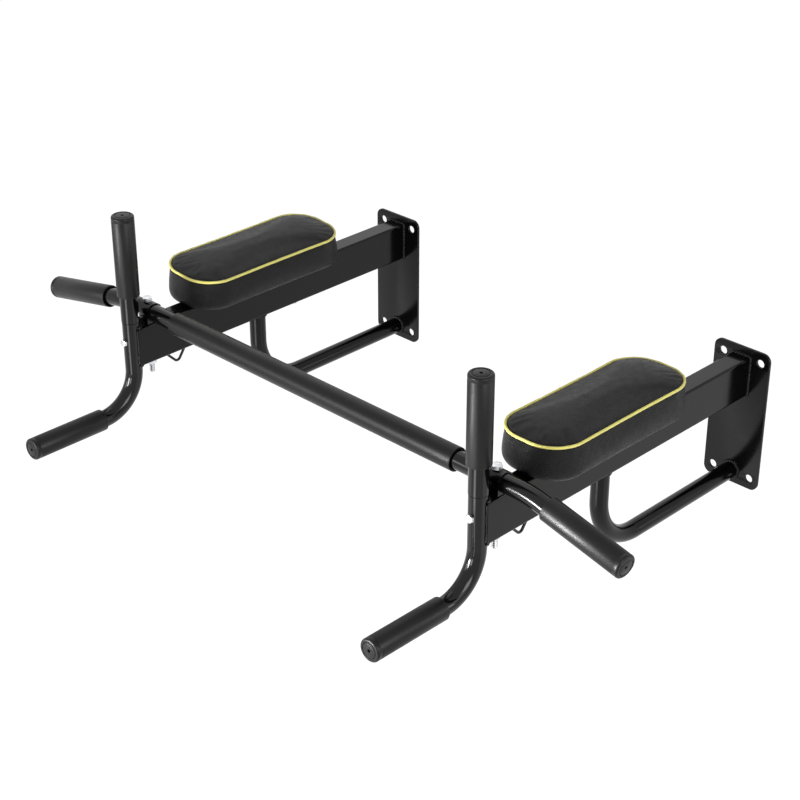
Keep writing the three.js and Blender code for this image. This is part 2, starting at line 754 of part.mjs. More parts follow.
const tnutBoreRadius = boreRadius(LARGE_BOLT_DIAMETER);
const tnutBarrelRadius = tnutBoreRadius + TNUT_BARREL_WALL;

function padBoard(middleY) {
  const inset = PAD_TUCK + COVER_THICKNESS + CLEARANCE;
  const slab = prism(padOutline(-inset), BOARD_THICKNESS).translate(0, middleY, boardBottomZ);
  const drills = padScrewYs.flatMap((y) => [
    drill(tnutBarrelRadius + CLEARANCE, BOARD_THICKNESS).translate(0, y, boardBottomZ),
    drill(TNUT_FLANGE_DIAMETER / 2 + CLEARANCE, OVERRUN)
      .translate(0, y, boardTopZ - TNUT_FLANGE_THICKNESS - CLEARANCE + OVERRUN),
  ]);
  return cut(slab, ...drills);
}

function teeNut() {
  const flange = TNUT_FLANGE_DIAMETER / 2;
  return turned([
    [tnutBoreRadius, -TNUT_BARREL_LENGTH],
    [tnutBarrelRadius, -TNUT_BARREL_LENGTH],
    [tnutBarrelRadius, -TNUT_FLANGE_THICKNESS],
    [flange, -TNUT_FLANGE_THICKNESS],
    [flange, 0],
    [tnutBoreRadius, 0],
    [tnutBoreRadius, -TNUT_BARREL_LENGTH],
  ], SMALL_SIDES).translate(0, 0, boardTopZ);
}

function padScrew() {
  const length = boardTopZ - PAD_SCREW_RECESS - underArmZ;
  return largeBolt(length).rotateX(Math.PI).translate(0, 0, underArmZ);
}

// Band hook: a wire bent to a V with a steep rear leg, cut flush with the arm's underside
function bandHook() {
  const apex = new THREE.Vector3(0, barY + HOOK_SETBACK, underArmZ - HOOK_DEPTH);
  const leg = (run) => {
    const overrun = (run / HOOK_DEPTH) * HOOK_WIRE_DIAMETER;
    return new THREE.Vector3(0, apex.y + run + overrun, underArmZ + HOOK_WIRE_DIAMETER);
  };
  const line = new BentLine([leg(-HOOK_FRONT_RUN), apex, leg(HOOK_REAR_RUN)], HOOK_BEND_RADIUS);
  const wire = sweep(line, circle(HOOK_WIRE_DIAMETER / 2, SMALL_SIDES));
  const trim = new THREE.BoxGeometry(ARM_WIDTH, 4 * (HOOK_FRONT_RUN + HOOK_REAR_RUN), ARM_HEIGHT)
    .translate(0, apex.y, underArmZ + ARM_HEIGHT / 2);
  return cut(wire, trim);
}

// One station: everything that hangs from one wall plate. side is -1 on the left, 1 on the right
function station(side, tag) {
  const group = new THREE.Group();
  group.position.x = (side * STATION_SPACING) / 2;
  const add = (name, geometry, material) => piece(group, `${name}_${tag}`, geometry, material);

  add('wall_plate', wallPlate(), satinPaint());
  add('arm_tube', armTube(), satinPaint());
  add('brace_tube', braceTube(), satinPaint());
  add('handle_tube', handleTube(), glossPaint());
  add('band_hook', bandHook(), glossPaint());

  aim(
    add('dip_grip', closedGrip(DIP_GRIP_WALL, handleRadius, DIP_GRIP_LENGTH), foamRubber()),
    new THREE.Vector3(0, dipGripY, -HANDLE_DROP), alongMinusY);

  add('upright_post', uprightPost(side), glossPaint());
  add('post_spigot', postSpigot(side), innerSteel());
  add('upright_grip', closedGrip(UPRIGHT_GRIP_WALL, postRadius, UPRIGHT_GRIP_LENGTH), foamRubber())
    .position.set(0, handleY, postBottomZ + UPRIGHT_GRIP_START);

  const boltSeat = handleRadius + CLEARANCE;
  aim(
    add('post_bolt', smallBolt(POST_BOLT_LENGTH), zinc()),
    new THREE.Vector3(0, handleY - boltSeat, -POST_BOLT_DROP), alongMinusY);
  const nutFront = Math.sqrt((spigotInnerRadius - CLEARANCE) ** 2 - (POST_NUT_DIAMETER / 2) ** 2);
  aim(
    add('post_nut', postNut(), zinc()),
    new THREE.Vector3(0, handleY - nutFront + SMALL_NUT_HEIGHT, -POST_BOLT_DROP), alongMinusY);
  const rivetOut = rivetDirection(side);
  const rivetSeat = new THREE.Vector3(0, handleY, RIVET_HEIGHT);
  rivetSeat.addScaledVector(rivetOut, postRadius + CLEARANCE);
  aim(add('post_rivet', rivet(), zinc()), rivetSeat, rivetOut);

  add('bar_cradle', barCradle(), glossPaint()).position.set(0, barY, barZ);
  add('bar_saddle', barSaddle(), glossPaint()).position.set(0, barY, barZ);
  const headZ = barZ + saddleOuterRadius + CLEARANCE;
  const washerZ = underArmZ - WASHER_THICKNESS;
  const nutZ = washerZ - CLEARANCE - LARGE_NUT_HEIGHT;
  add('bar_bolt', largeBolt(headZ - nutZ + BOLT_TAIL), zinc()).position.set(0, barY, headZ);
  add('bar_washer', washer(), zinc()).position.set(0, barY, washerZ);
  add('bar_nut', largeNut().rotateX(Math.PI), zinc()).position.set(0, barY, nutZ + LARGE_NUT_HEIGHT);
  aim(
    add('end_grip', closedGrip(BAR_GRIP_WALL, barRadius, END_GRIP_LENGTH), foamRubber()),
    barBend(side).addScaledVector(barEndDirection(side), END_GRIP_START).sub(group.position),
    barEndDirection(side));

  const middleY = padMiddleY - side * PAD_STAGGER;
  add('pad_board', padBoard(middleY), plywood());
  add('pad_foam', padFoam().translate(0, middleY, 0), paleFoam());
  add('pad_cover', padCover().translate(0, middleY, 0), leatherette());
  add('pad_piping', padPiping().translate(0, middleY, 0), yellowPiping());
  padScrewYs.forEach((y, i) => {
    const place = i === 0 ? 'front' : 'rear';
    add(`pad_tnut_${place}`, teeNut().translate(0, y, 0), zinc());
    add(`pad_screw_${place}`, padScrew().translate(0, y, 0), zinc());
  });
  return group;
}

const group = new THREE.Group();
group.add(station(-1, 'left'), station(1, 'right'));
piece(group, 'pull_up_bar', pullUpBar(), glossPaint());
aim(
  piece(group, 'center_grip', sleeveGrip(BAR_GRIP_WALL, barRadius, centerGripLength), foamRubber()),
  new THREE.Vector3(-centerGripLength / 2, barY, barZ), new THREE.Vector3(1, 0, 0));

export default group;
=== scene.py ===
"""Looks of a wall-mounted dip station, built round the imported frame.

Sizes below are millimetres and are turned to metres when a piece is made. The frame's own
axes are kept: X along the wall, -Y out of it, +Z up, origin in the wall's plane midway
between the arms and level with their tops.
"""
import math

import bmesh
import bpy
import numpy as np
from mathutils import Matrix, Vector, noise


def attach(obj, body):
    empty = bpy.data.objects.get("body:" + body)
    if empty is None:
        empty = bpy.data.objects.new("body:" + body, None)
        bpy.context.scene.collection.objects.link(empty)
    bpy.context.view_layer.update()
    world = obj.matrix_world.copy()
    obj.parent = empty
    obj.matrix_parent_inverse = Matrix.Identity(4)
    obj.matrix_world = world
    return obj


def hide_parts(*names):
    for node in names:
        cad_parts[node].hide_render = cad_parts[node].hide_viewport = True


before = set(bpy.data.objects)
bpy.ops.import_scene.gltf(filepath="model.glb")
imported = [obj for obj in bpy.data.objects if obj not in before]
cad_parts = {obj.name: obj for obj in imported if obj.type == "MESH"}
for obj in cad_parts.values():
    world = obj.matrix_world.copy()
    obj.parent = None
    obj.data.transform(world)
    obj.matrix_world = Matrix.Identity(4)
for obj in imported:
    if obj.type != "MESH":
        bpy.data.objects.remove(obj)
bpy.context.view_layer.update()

MM = 0.001
GAP = 0.3
SIDES = {"left": -1, "right": 1}

# Frame sizes
SPACING = 670
PLATE_WIDTH, PLATE_THICKNESS, PLATE_TOP, PLATE_BOTTOM = 92, 4, 12, -204
PLATE_CORNER, PLATE_EDGE = 12, 0.5
HOLE_RADIUS, HOLE_SIDE_INSET, HOLE_END_INSET = 6, 15, 16.5
ARM_WIDTH, ARM_HEIGHT, ARM_WALL, ARM_CORNER = 30, 60, 2, 2.6
BRACE_RADIUS, BRACE_WALL, BRACE_REACH, BRACE_DROP, BRACE_BEND = 12.5, 1.8, 307.1, 183.8, 80
HANDLE_Y, HANDLE_RADIUS, HANDLE_WALL = -543.6, 12.5, 1.8
HANDLE_RISE, HANDLE_DROP, HANDLE_BEND = 8.7, 126.7, 60
ARM_END_Y = HANDLE_Y + 1.6
POST_RADIUS, POST_WALL, POST_BOTTOM = 13, 1.8, 9
POST_BOLT_Z, RIVET_Z, RIVET_TURN = -21, 20, math.radians(35)
TUBE_CHAMFER = 0.5

# Welds: the ripple's height and pitch, and the step along the seam
WELD_RADIUS, WELD_PITCH, WELD_STEP, WELD_RIPPLE, WELD_WANDER = 2.7, 2.9, 0.45, 0.42, 0.5
WELD_SHARPNESS, WELD_NOISE, WELD_LIFT = 0.6, 0.13, 0.2
PLATE_WELD_LIFT, BRACE_WELD_RADIUS, BRACE_WELD_OUT = 0.4, 2.4, 0.3
SIDE_WELD_RADIUS, SIDE_WELD_X, SIDE_WELD_END = 1.5, 13.2, 3
COPE_WELD_RADIUS, COPE_WELD_OUT, COPE_WELD_START = 2.4, 0.8, math.radians(6)
HOOK_WELD_RADIUS, HOOK_WELD_REACH, HOOK_WELD_RISE = 2.6, 3, 0.6

# Grips
UPRIGHT_GRIP = dict(radius=16.25, length=121.5, bore=13.3)
DIP_GRIP = dict(radius=15.7, length=122, bore=12.8)
END_GRIP = dict(radius=16.2, length=125, bore=13)
CENTER_GRIP = dict(radius=16.2, length=542, bore=13)
UPRIGHT_GRIP_Z = 49.5
DIP_GRIP_Y = HANDLE_Y - HANDLE_BEND - 3.1
GRIP_CAP = 5
GRIP_EDGE, BORE_EDGE = 0.9, 0.6
SHOULDER, SEAM_RING, RING_DEPTH = 3, 4.2, 0.3
GROOVE_INSET, GROOVE_WIDTH, GROOVE_DEPTH, GROOVE_EASE, VENT_RADIUS = 5.2, 1.6, 0.9, 0.3, 2

# Pull-up bar
BAR_RADIUS, BAR_WALL, BAR_Y, BAR_Z = 12.7, 1.8, -511.4, 15.4
BAR_BEND_X, BAR_BEND = SPACING / 2 + 53, 200
BAR_ANGLE, BAR_LEAN = math.radians(10.7), math.radians(18)
END_GRIP_START = 31.8
CRADLE_LENGTH, CRADLE_ANGLE = 27, math.radians(67.4)
SADDLE_LENGTH, SADDLE_ANGLE, SADDLE_THICKNESS, SADDLE_CORNER = 30, math.radians(68), 1.6, 4.5
SHEET_EDGE = 0.5

# Fasteners
HEX_RISE = math.radians(30)
LARGE = dict(flats=13, head=5.3, radius=4, pitch=1.25)
SMALL = dict(flats=10, head=4, radius=3, pitch=1.0)
HEX_FLAT_SHARE, NUT_HEIGHT, THREAD_SHARE = 0.95, 6.5, 0.45
BOLT_TAIL, BOLT_PLAIN, HANDLE_BOLT_LENGTH, PAD_SCREW_RISE = 15, 90, 14, 12.8
WASHER_RADIUS, WASHER_THICKNESS, WASHER_EASE = 8.5, 1.6, 0.2
RIVET_HEAD, RIVET_SHANK, RIVET_TAIL, RIVET_RIM, RIVET_DOME = 3.2, 2, 5, 0.3, 1.6

# Pads
PAD_WIDTH, PAD_LENGTH, PAD_CORNER, PAD_WAIST = 117.5, 287.5, 49, 0.8
PAD_FRONT_Y = BAR_Y + 51.6
PAD_MIDDLE_Y, PAD_STAGGER = PAD_FRONT_Y + PAD_LENGTH / 2, 8
PAD_SCREW_YS = {"front": PAD_FRONT_Y + 62.8, "rear": PAD_FRONT_Y + PAD_LENGTH - 62.8}
SEAM_Z, SEAM_OFFSET, PIPING_RADIUS = 49.2, -4.1, 1.95
PAD_LEAN = {"left": -0.072, "right": 0}

# Band hook
HOOK_RADIUS, HOOK_Y, HOOK_FRONT, HOOK_REAR = 2, BAR_Y + 47.5, 25, 17.5
HOOK_DEPTH, HOOK_BEND = 25, 6

# Camera and light
CAMERA_PLACE = (1.57762, -1.93576, 1.140824)
CAMERA_AZIMUTH, CAMERA_ELEVATION = math.radians(44.627), math.radians(28.352)
LENS, SENSOR = 82.031, 36
FLOOR_Z, FLOOR_SIZE = -2.3, 40


# Geometry helpers, in millimetres
def unit(vector):
    vector = np.asarray(vector, float)
    return vector / np.linalg.norm(vector)


def circle(sides):
    angles = np.arange(sides) * 2 * math.pi / sides
    return np.stack([np.cos(angles), np.sin(angles)], 1)


def skin(rings, looped=False, capped=False):
    """Points and faces of a body made of equal rings."""
    rings = np.asarray(rings, float)
    count, size = rings.shape[:2]
    faces = []
    for r in range(count if looped else count - 1):
        near, far = r * size, (r + 1) % count * size
        for i in range(size):
            after = (i + 1) % size
            faces.append((near + i, near + after, far + after, far + i))
    if capped:
        faces += [tuple(range(size))[::-1], tuple(range((count - 1) * size, count * size))]
    return rings.reshape(-1, 3), faces


def joined(*shapes):
    """One shape out of several."""
    points, faces, start = [], [], 0
    for shape_points, shape_faces in shapes:
        points.append(shape_points)
        faces += [tuple(start + i for i in face) for face in shape_faces]
        start += len(shape_points)
    return np.concatenate(points), faces


def turned(profile, sides=64):
    """A lathe about Z from (radius, height) pairs."""
    ring = circle(sides)
    return skin([[(r * x, r * y, z) for x, y in ring] for r, z in profile])


def placed(shape, origin, axis=(0, 0, 1)):
    """The shape with its own Z turned to the axis, moved to the origin."""
    points, faces = shape
    turn = np.array(Vector((0, 0, 1)).rotation_difference(Vector(axis)).to_matrix())
    return points @ turn.T + np.asarray(origin, float), faces


def bent_path(corners, radius, steps=20):
    """A path through the corners, each rounded with one radius."""
    corners = [np.asarray(c, float) for c in corners]
    points = [corners[0]]
    for before, corner, after in zip(corners, corners[1:], corners[2:]):
        inward, outward = unit(corner - before), unit(after - corner)
        angle = math.acos(np.clip(inward @ outward, -1, 1))
        start = corner - inward * radius * math.tan(angle / 2)
        across = unit(outward - inward * (inward @ outward))
        centre = start + across * radius
        for k in range(steps + 1):
            t = angle * k / steps
            points.append(centre + radius * (inward * math.sin(t) - across * math.cos(t)))
    return np.array(points + [corners[-1]])


def headings(path, looped=False):
    if looped:
        ahead, behind = np.roll(path, -1, 0), np.roll(path, 1, 0)
    else:
        ahead, behind = np.vstack([path[1:], path[-1:]]), np.vstack([path[:1], path[:-1]])
    step = ahead - behind
    return step / np.linalg.norm(step, axis=1)[:, None]


def ring_at(point, heading, normal, radius, ring):
    other = np.cross(heading, normal)
    return point + radius * (ring[:, :1] * normal + ring[:, 1:] * other)


def tube(path, normal, outer, inner, sides=64):
    """A hollow bent tube with chamfered ends; the path lies in the plane across normal."""
    path, normal, ring = np.asarray(path, float), unit(normal), circle(sides)
    ways = headings(path)
    inset = TUBE_CHAMFER * ways
    places = [(path[0], ways[0], outer - TUBE_CHAMFER), (path[0] + inset[0], ways[0], outer)]
    places += [(p, w, outer) for p, w in zip(path[1:-1], ways[1:-1])]
    places += [(path[-1] - inset[-1], ways[-1], outer), (path[-1], ways[-1], outer - TUBE_CHAMFER)]
    places += [(p, w, inner) for p, w in zip(path[::-1], ways[::-1])]
    return skin([ring_at(p, w, normal, r, ring) for p, w, r in places], looped=True)


def rod(path, normal, radius, sides=24, looped=False):
    path, normal, ring = np.asarray(path, float), unit(normal), circle(sides)
    radii = np.broadcast_to(radius, len(path))
    rings = [ring_at(p, w, normal, r, ring) for p, w, r in zip(path, headings(path, looped), radii)]
    return skin(rings, looped=looped, capped=not looped)


def resampled(path, step, looped=False):
    """Points at an even step along a path."""
    path = np.vstack([path, path[:1]]) if looped else np.asarray(path, float)
    lengths = np.concatenate([[0], np.cumsum(np.linalg.norm(np.diff(path, axis=0), axis=1))])
    count = max(int(round(lengths[-1] / step)), 4)
    at = np.linspace(0, lengths[-1], count + 1)[: count if looped else count + 1]
    return np.stack([np.interp(at, lengths, path[:, k]) for k in range(3)], 1)


def weld_bead(path, normal, looped=False, radius=WELD_RADIUS):
    """A rippled bead along a seam."""
    path = resampled(path, WELD_STEP, looped)
    count = len(path)
    turns = round(count * WELD_STEP / WELD_PITCH)
    phase = np.arange(count) / count * turns
    ripple = np.abs(np.cos(math.pi * phase)) ** WELD_SHARPNESS
    wander = np.array([noise.noise(Vector(p) * WELD_NOISE) for p in path])
    radii = radius - WELD_RIPPLE * (1 - ripple) * 2 + WELD_WANDER * wander
    if not looped:
        ends = np.minimum(np.arange(count), np.arange(count)[::-1]) * WELD_STEP
        radii = radii * np.sqrt(np.clip(ends / radius, 0.02, 1))
    return rod(path, normal, radii, sides=18, looped=looped)


def rounded_outline(width, length, radius, step=3.0, flat_steps=None):
    """Points and outward normals round a rounded rectangle, evenly spaced."""
    half = np.array([width, length]) / 2
    arc = radius * math.pi / 2
    runs = [half[1] - radius, arc, half[0] - radius]
    quarter = sum(runs)
    count = flat_steps or max(int(round(quarter / step)), 6)
    at = (np.arange(count) + 0.5) * quarter / count
    points, normals = [], []
    for s in at:
        if s < runs[0]:
            points.append((half[0], s))
            normals.append((1, 0))
        elif s < runs[0] + runs[1]:
            t = (s - runs[0]) / radius
            normals.append((math.cos(t), math.sin(t)))
            points.append((half[0] - radius + radius * math.cos(t),
                           half[1] - radius + radius * math.sin(t)))
        else:
            points.append((half[0] - radius - (s - runs[0] - runs[1]), half[1]))
            normals.append((0, 1))
    points, normals = np.array(points), np.array(normals)
    quads = []
    for sx, sy, order in ((1, 1, 1), (-1, 1, -1), (-1, -1, 1), (1, -1, -1)):
        sign = np.array([sx, sy])
        quads.append((points[::order] * sign, normals[::order] * sign))
    return np.concatenate([q[0] for q in quads]), np.concatenate([q[1] for q in quads])


# Materials
NOISE_LOW, NOISE_HIGH = 0.3, 0.7
EMBOSS_ATTRIBUTE = "band"


class Finish:
    """A node material round one Principled shader, in object coordinates."""

    def __init__(self, name, **inputs):
        self.material = bpy.data.materials.new(name)
        self.material.use_nodes = True
        self.tree = self.material.node_tree
        self.tree.nodes.clear()
        out = self.add("ShaderNodeOutputMaterial")
        self.shader = self.add("ShaderNodeBsdfPrincipled")
        self.link(self.shader.outputs[0], out.inputs[0])
        self.place = self.add("ShaderNodeTexCoord").outputs["Object"]
        for key, value in inputs.items():
            self.shader.inputs[key.replace("_", " ")].default_value = value

    def add(self, kind, **settings):
        node = self.tree.nodes.new(kind)
        for key, value in settings.items():
            setattr(node, key, value)
        return node

    def link(self, source, target):
        self.tree.links.new(source, target)

    def noise(self, scale, detail=3, roughness=0.5, stretch=None):
        node = self.add("ShaderNodeTexNoise")
        node.inputs["Scale"].default_value = scale
        node.inputs["Detail"].default_value = detail
        node.inputs["Roughness"].default_value = roughness
        self.link(self.stretched(stretch), node.inputs["Vector"])
        return node.outputs["Fac"]

    def stretched(self, stretch):
        if stretch is None:
            return self.place
        node = self.add("ShaderNodeMapping")
        node.inputs["Scale"].default_value = stretch
        self.link(self.place, node.inputs["Vector"])
        return node.outputs[0]

    def cells(self, scale):
        node = self.add("ShaderNodeTexVoronoi")
        node.inputs["Scale"].default_value = scale
        self.link(self.place, node.inputs["Vector"])
        return node.outputs["Distance"]

    def ranged(self, value, low, high):
        """The middle of a noise's range, spread from low to high."""
        node = self.add("ShaderNodeMapRange", clamp=True)
        limits = {"From Min": NOISE_LOW, "From Max": NOISE_HIGH, "To Min": low, "To Max": high}
        for key, number in limits.items():
            node.inputs[key].default_value = number
        self.link(value, node.inputs["Value"])
        return node.outputs[0]

    def math(self, operation, a, b=None):
        node = self.add("ShaderNodeMath", operation=operation)
        for socket, value in zip(node.inputs, (a, b)):
            if value is None:
                continue
            if isinstance(value, (int, float)):
                socket.default_value = value
            else:
                self.link(value, socket)
        return node.outputs[0]

    def colours(self, value, low, high):
        """Base colour between two colours."""
        node = self.add("ShaderNodeMix", data_type="RGBA")
        self.link(self.ranged(value, 0, 1), node.inputs[0])
        node.inputs[6].default_value = (*low, 1)
        node.inputs[7].default_value = (*high, 1)
        self.link(node.outputs[2], self.shader.inputs["Base Color"])

    def roughness(self, value, low, high):
        self.link(self.ranged(value, low, high), self.shader.inputs["Roughness"])

    def bump(self, *layers):
        """Chained bumps from (height, depth in mm, strength)."""
        normal = None
        for height, depth, strength in layers:
            node = self.add("ShaderNodeBump")
            node.inputs["Distance"].default_value = depth * MM
            node.inputs["Strength"].default_value = strength
            self.link(height, node.inputs["Height"])
            if normal is not None:
                self.link(normal, node.inputs["Normal"])
            normal = node.outputs[0]
        self.link(normal, self.shader.inputs["Normal"])


def grey(value):
    return (value, value, value)


def satin_paint():
    f = Finish("satin_black_paint", IOR=1.28)
    f.colours(f.noise(14, 4), grey(0.0016), grey(0.0026))
    f.roughness(f.noise(60, 4), 0.13, 0.18)
    f.bump((f.noise(260, 2), 0.03, 0.12), (f.noise(60, 2), 0.08, 0.1))
    return f.material


def gloss_paint():
    f = Finish("gloss_black_paint", IOR=1.36)
    f.colours(f.noise(20, 4), grey(0.0014), grey(0.0022))
    f.roughness(f.noise(45, 4), 0.1, 0.15)
    f.bump((f.noise(300, 2), 0.03, 0.12))
    return f.material


def foam_rubber():
    f = Finish("foam_rubber", IOR=1.32)
    f.colours(f.noise(30, 5), grey(0.0022), grey(0.004))
    f.roughness(f.noise(240, 4), 0.35, 0.43)
    f.bump((f.cells(2600), 0.05, 0.2), (f.noise(420, 3), 0.06, 0.12))
    return f.material


def zinc():
    f = Finish("zinc_steel", Metallic=1.0)
    f.colours(f.noise(300, 4), (0.55, 0.56, 0.58), (0.74, 0.75, 0.77))
    f.roughness(f.noise(500, 4), 0.22, 0.38)
    f.bump((f.noise(900, 3), 0.05, 0.3))
    return f.material


def inner_steel():
    f = Finish("inner_steel", Metallic=1.0)
    f.colours(f.noise(200, 4), (0.22, 0.22, 0.23), (0.36, 0.36, 0.38))
    f.roughness(f.noise(400, 4), 0.35, 0.5)
    f.bump((f.noise(900, 3), 0.05, 0.3))
    return f.material


def leatherette():
    """Black leatherette with an embossed grid of fine dots."""
    f = Finish("leatherette", IOR=1.25)
    f.colours(f.noise(120, 4), grey(0.003), grey(0.0055))
    f.roughness(f.noise(90, 4), 0.29, 0.4)
    node = f.add("ShaderNodeAttribute", attribute_name=EMBOSS_ATTRIBUTE)
    split = f.add("ShaderNodeSeparateXYZ")
    f.link(node.outputs["Vector"], split.inputs[0])
    waves = []
    for k in (0, 1):
        turn = f.math("MULTIPLY", split.outputs[k], math.pi)
        waves.append(f.math("ABSOLUTE", f.math("SINE", turn)))
    dots = f.math("POWER", f.math("MULTIPLY", *waves), 0.6)
    f.bump((f.noise(30, 2), 0.5, 0.07), (dots, 0.6, 0.9), (f.noise(2200, 2), 0.03, 0.25))
    return f.material


def piping():
    f = Finish("yellow_piping", IOR=1.45)
    f.colours(f.noise(160, 4), (0.92, 0.83, 0.19), (0.98, 0.91, 0.27))
    f.roughness(f.noise(400, 3), 0.3, 0.45)
    f.bump((f.noise(900, 3), 0.06, 0.4))
    return f.material


def plywood():
    f = Finish("plywood")
    f.colours(f.noise(60, 6, 0.6, (1, 0.06, 1)), (0.33, 0.2, 0.09), (0.52, 0.34, 0.17))
    f.roughness(f.noise(200, 3), 0.6, 0.8)
    f.bump((f.noise(300, 4, 0.6, (1, 0.05, 1)), 0.15, 0.4))
    return f.material


PAINT, GLOSS, FOAM, ZINC, STEEL = satin_paint(), gloss_paint(), foam_rubber(), zinc(), inner_steel()
LEATHER, PIPING, PLYWOOD = leatherette(), piping(), plywood()


# Pieces
MERGE_DISTANCE, EDGE_SEGMENTS, EDGE_ANGLE = 2e-6, 3, math.radians(50)


def piece(name, shape, material, nodes, sharp=35, bevel=0):
    """A Blender object from points in millimetres, riding on the frame in place of CAD nodes."""
    points, faces = shape
    mesh = bpy.data.meshes.new(name)
    mesh.from_pydata((points * MM).tolist(), [], faces)
    work = bmesh.new()
    work.from_mesh(mesh)
    bmesh.ops.remove_doubles(work, verts=work.verts, dist=MERGE_DISTANCE)
    bmesh.ops.recalc_face_normals(work, faces=work.faces)
    work.to_mesh(mesh)
    work.free()
    mesh.shade_smooth()
    mesh.set_sharp_from_angle(angle=math.radians(sharp))
    made = bpy.data.objects.new(name, mesh)
    bpy.context.scene.collection.objects.link(made)
    mesh.materials.append(material)
    if bevel:
        edge = made.modifiers.new("edges", "BEVEL")
        edge.width, edge.segments = bevel * MM, EDGE_SEGMENTS
        edge.limit_method, edge.angle_limit = "ANGLE", EDGE_ANGLE
        edge.harden_normals = True
    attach(made, "root")
    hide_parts(*nodes)
    return made


def flat_plate(outline, holes, thickness, edge):
    """A bevelled plate drawn in X and Y, from z 0 up to its thickness."""
    curve = bpy.data.curves.new("plate", "CURVE")
    curve.dimensions, curve.fill_mode = "2D", "BOTH"
    curve.extrude, curve.bevel_depth, curve.bevel_resolution = thickness / 2 - edge, edge, 2
    curve.offset = -edge
    for loop in [outline, *holes]:
        spline = curve.splines.new("POLY")
        spline.points.add(len(loop) - 1)
        for point, (x, y) in zip(spline.points, loop):
            point.co = (x, y, 0, 1)
        spline.use_cyclic_u = True
    made = bpy.data.objects.new("plate", curve)
    mesh = bpy.data.meshes.new_from_object(made)
    points = np.array([v.co for v in mesh.vertices]) + (0, 0, thickness / 2)
    faces = [tuple(p.vertices) for p in mesh.polygons]
    bpy.data.objects.remove(made)
    bpy.data.curves.remove(curve)
    bpy.data.meshes.remove(mesh)
    return points, faces


def wall_plate(x):
    height, middle = PLATE_TOP - PLATE_BOTTOM, (PLATE_TOP + PLATE_BOTTOM) / 2
    outline = rounded_outline(PLATE_WIDTH, height, PLATE_CORNER, flat_steps=60)[0]
    hole_x, hole_y = PLATE_WIDTH / 2 - HOLE_SIDE_INSET, height / 2 - HOLE_END_INSET
    holes = [circle(48) * HOLE_RADIUS + (sx * hole_x, sy * hole_y)
             for sx in (-1, 1) for sy in (-1, 1)]
    points, faces = flat_plate(outline, holes, PLATE_THICKNESS, PLATE_EDGE)
    # the plate's own X, Y and thickness become X, Z and -Y
    plate = np.stack([points[:, 0] + x, -points[:, 2], points[:, 1] + middle], 1), faces
    weld_y = -PLATE_THICKNESS - PLATE_WELD_LIFT
    arm = rounded_outline(ARM_WIDTH, ARM_HEIGHT, ARM_CORNER, step=1)[0]
    arm_seam = np.stack([arm[:, 0] + x, np.full(len(arm), weld_y),
                         arm[:, 1] - ARM_HEIGHT / 2], 1)
    brace = circle(96) * BRACE_RADIUS
    brace_seam = np.stack([brace[:, 0] + x, np.full(len(brace), weld_y),
                           brace[:, 1] - BRACE_DROP], 1)
    beads = [weld_bead(seam, (0, 1, 0), looped=True) for seam in (arm_seam, brace_seam)]
    return joined(plate, *beads)


def arm_tube(x):
    """The arm, its front end coped round the handle tube."""
    def coped(points):
        reach = HANDLE_RADIUS + GAP
        inside = reach ** 2 - points[:, 0] ** 2
        return np.maximum(HANDLE_Y + np.sqrt(np.maximum(inside, 0)), ARM_END_Y)

    def outline(inset):
        width, height = ARM_WIDTH - 2 * inset, ARM_HEIGHT - 2 * inset
        return rounded_outline(width, height, ARM_CORNER - inset, flat_steps=40)[0]

    rings = []
    back = -PLATE_THICKNESS - GAP
    for inset, order in ((0, (0, 1)), (ARM_WALL, (1, 0))):
        shape = outline(inset)
        ends = [np.full(len(shape), back), coped(shape)]
        for end in order:
            rings.append(np.stack([shape[:, 0] + x, ends[end], shape[:, 1] - ARM_HEIGHT / 2], 1))
    return skin(rings, looped=True)


def brace_tube(x):
    top = -ARM_HEIGHT - GAP
    path = bent_path([(x, -BRACE_REACH, top), (x, -BRACE_REACH, -BRACE_DROP),
                      (x, -PLATE_THICKNESS - GAP, -BRACE_DROP)], BRACE_BEND, steps=28)
    ring = circle(96) * (BRACE_RADIUS + BRACE_WELD_OUT)
    seam = np.stack([ring[:, 0] + x, ring[:, 1] - BRACE_REACH, np.full(len(ring), top - GAP)], 1)
    return joined(tube(path, (1, 0, 0), BRACE_RADIUS, BRACE_RADIUS - BRACE_WALL),
                  weld_bead(seam, (0, 0, 1), looped=True, radius=BRACE_WELD_RADIUS))


def handle_tube(x):
    tip = DIP_GRIP_Y - DIP_GRIP["length"] + GRIP_CAP + GAP
    path = bent_path([(x, HANDLE_Y, HANDLE_RISE), (x, HANDLE_Y, -HANDLE_DROP),
                      (x, tip, -HANDLE_DROP)], HANDLE_BEND, steps=36)
    shapes = [tube(path, (1, 0, 0), HANDLE_RADIUS, HANDLE_RADIUS - HANDLE_WALL)]
    low, high = -ARM_HEIGHT + SIDE_WELD_END, -SIDE_WELD_END
    for side in (-1, 1):
        seam = [(x + side * SIDE_WELD_X, ARM_END_Y - WELD_LIFT, z) for z in (low, high)]
        shapes.append(weld_bead(seam, (1, 0, 0), radius=SIDE_WELD_RADIUS))
    angles = np.linspace(COPE_WELD_START, math.pi - COPE_WELD_START, 60)
    reach = HANDLE_RADIUS + COPE_WELD_OUT
    for z in (WELD_LIFT, -ARM_HEIGHT - WELD_LIFT):
        seam = np.stack([x + reach * np.cos(angles), HANDLE_Y + reach * np.sin(angles),
                         np.full(len(angles), z)], 1)
        shapes.append(weld_bead(seam, (0, 0, 1), radius=COPE_WELD_RADIUS))
    return joined(*shapes)


def arc(centre, radius, start, end, steps):
    """Points on an arc, from one angle in degrees to another."""
    angles = [math.radians(start + (end - start) * k / steps) for k in range(steps + 1)]
    return [(centre[0] + radius * math.cos(a), centre[1] + radius * math.sin(a)) for a in angles]


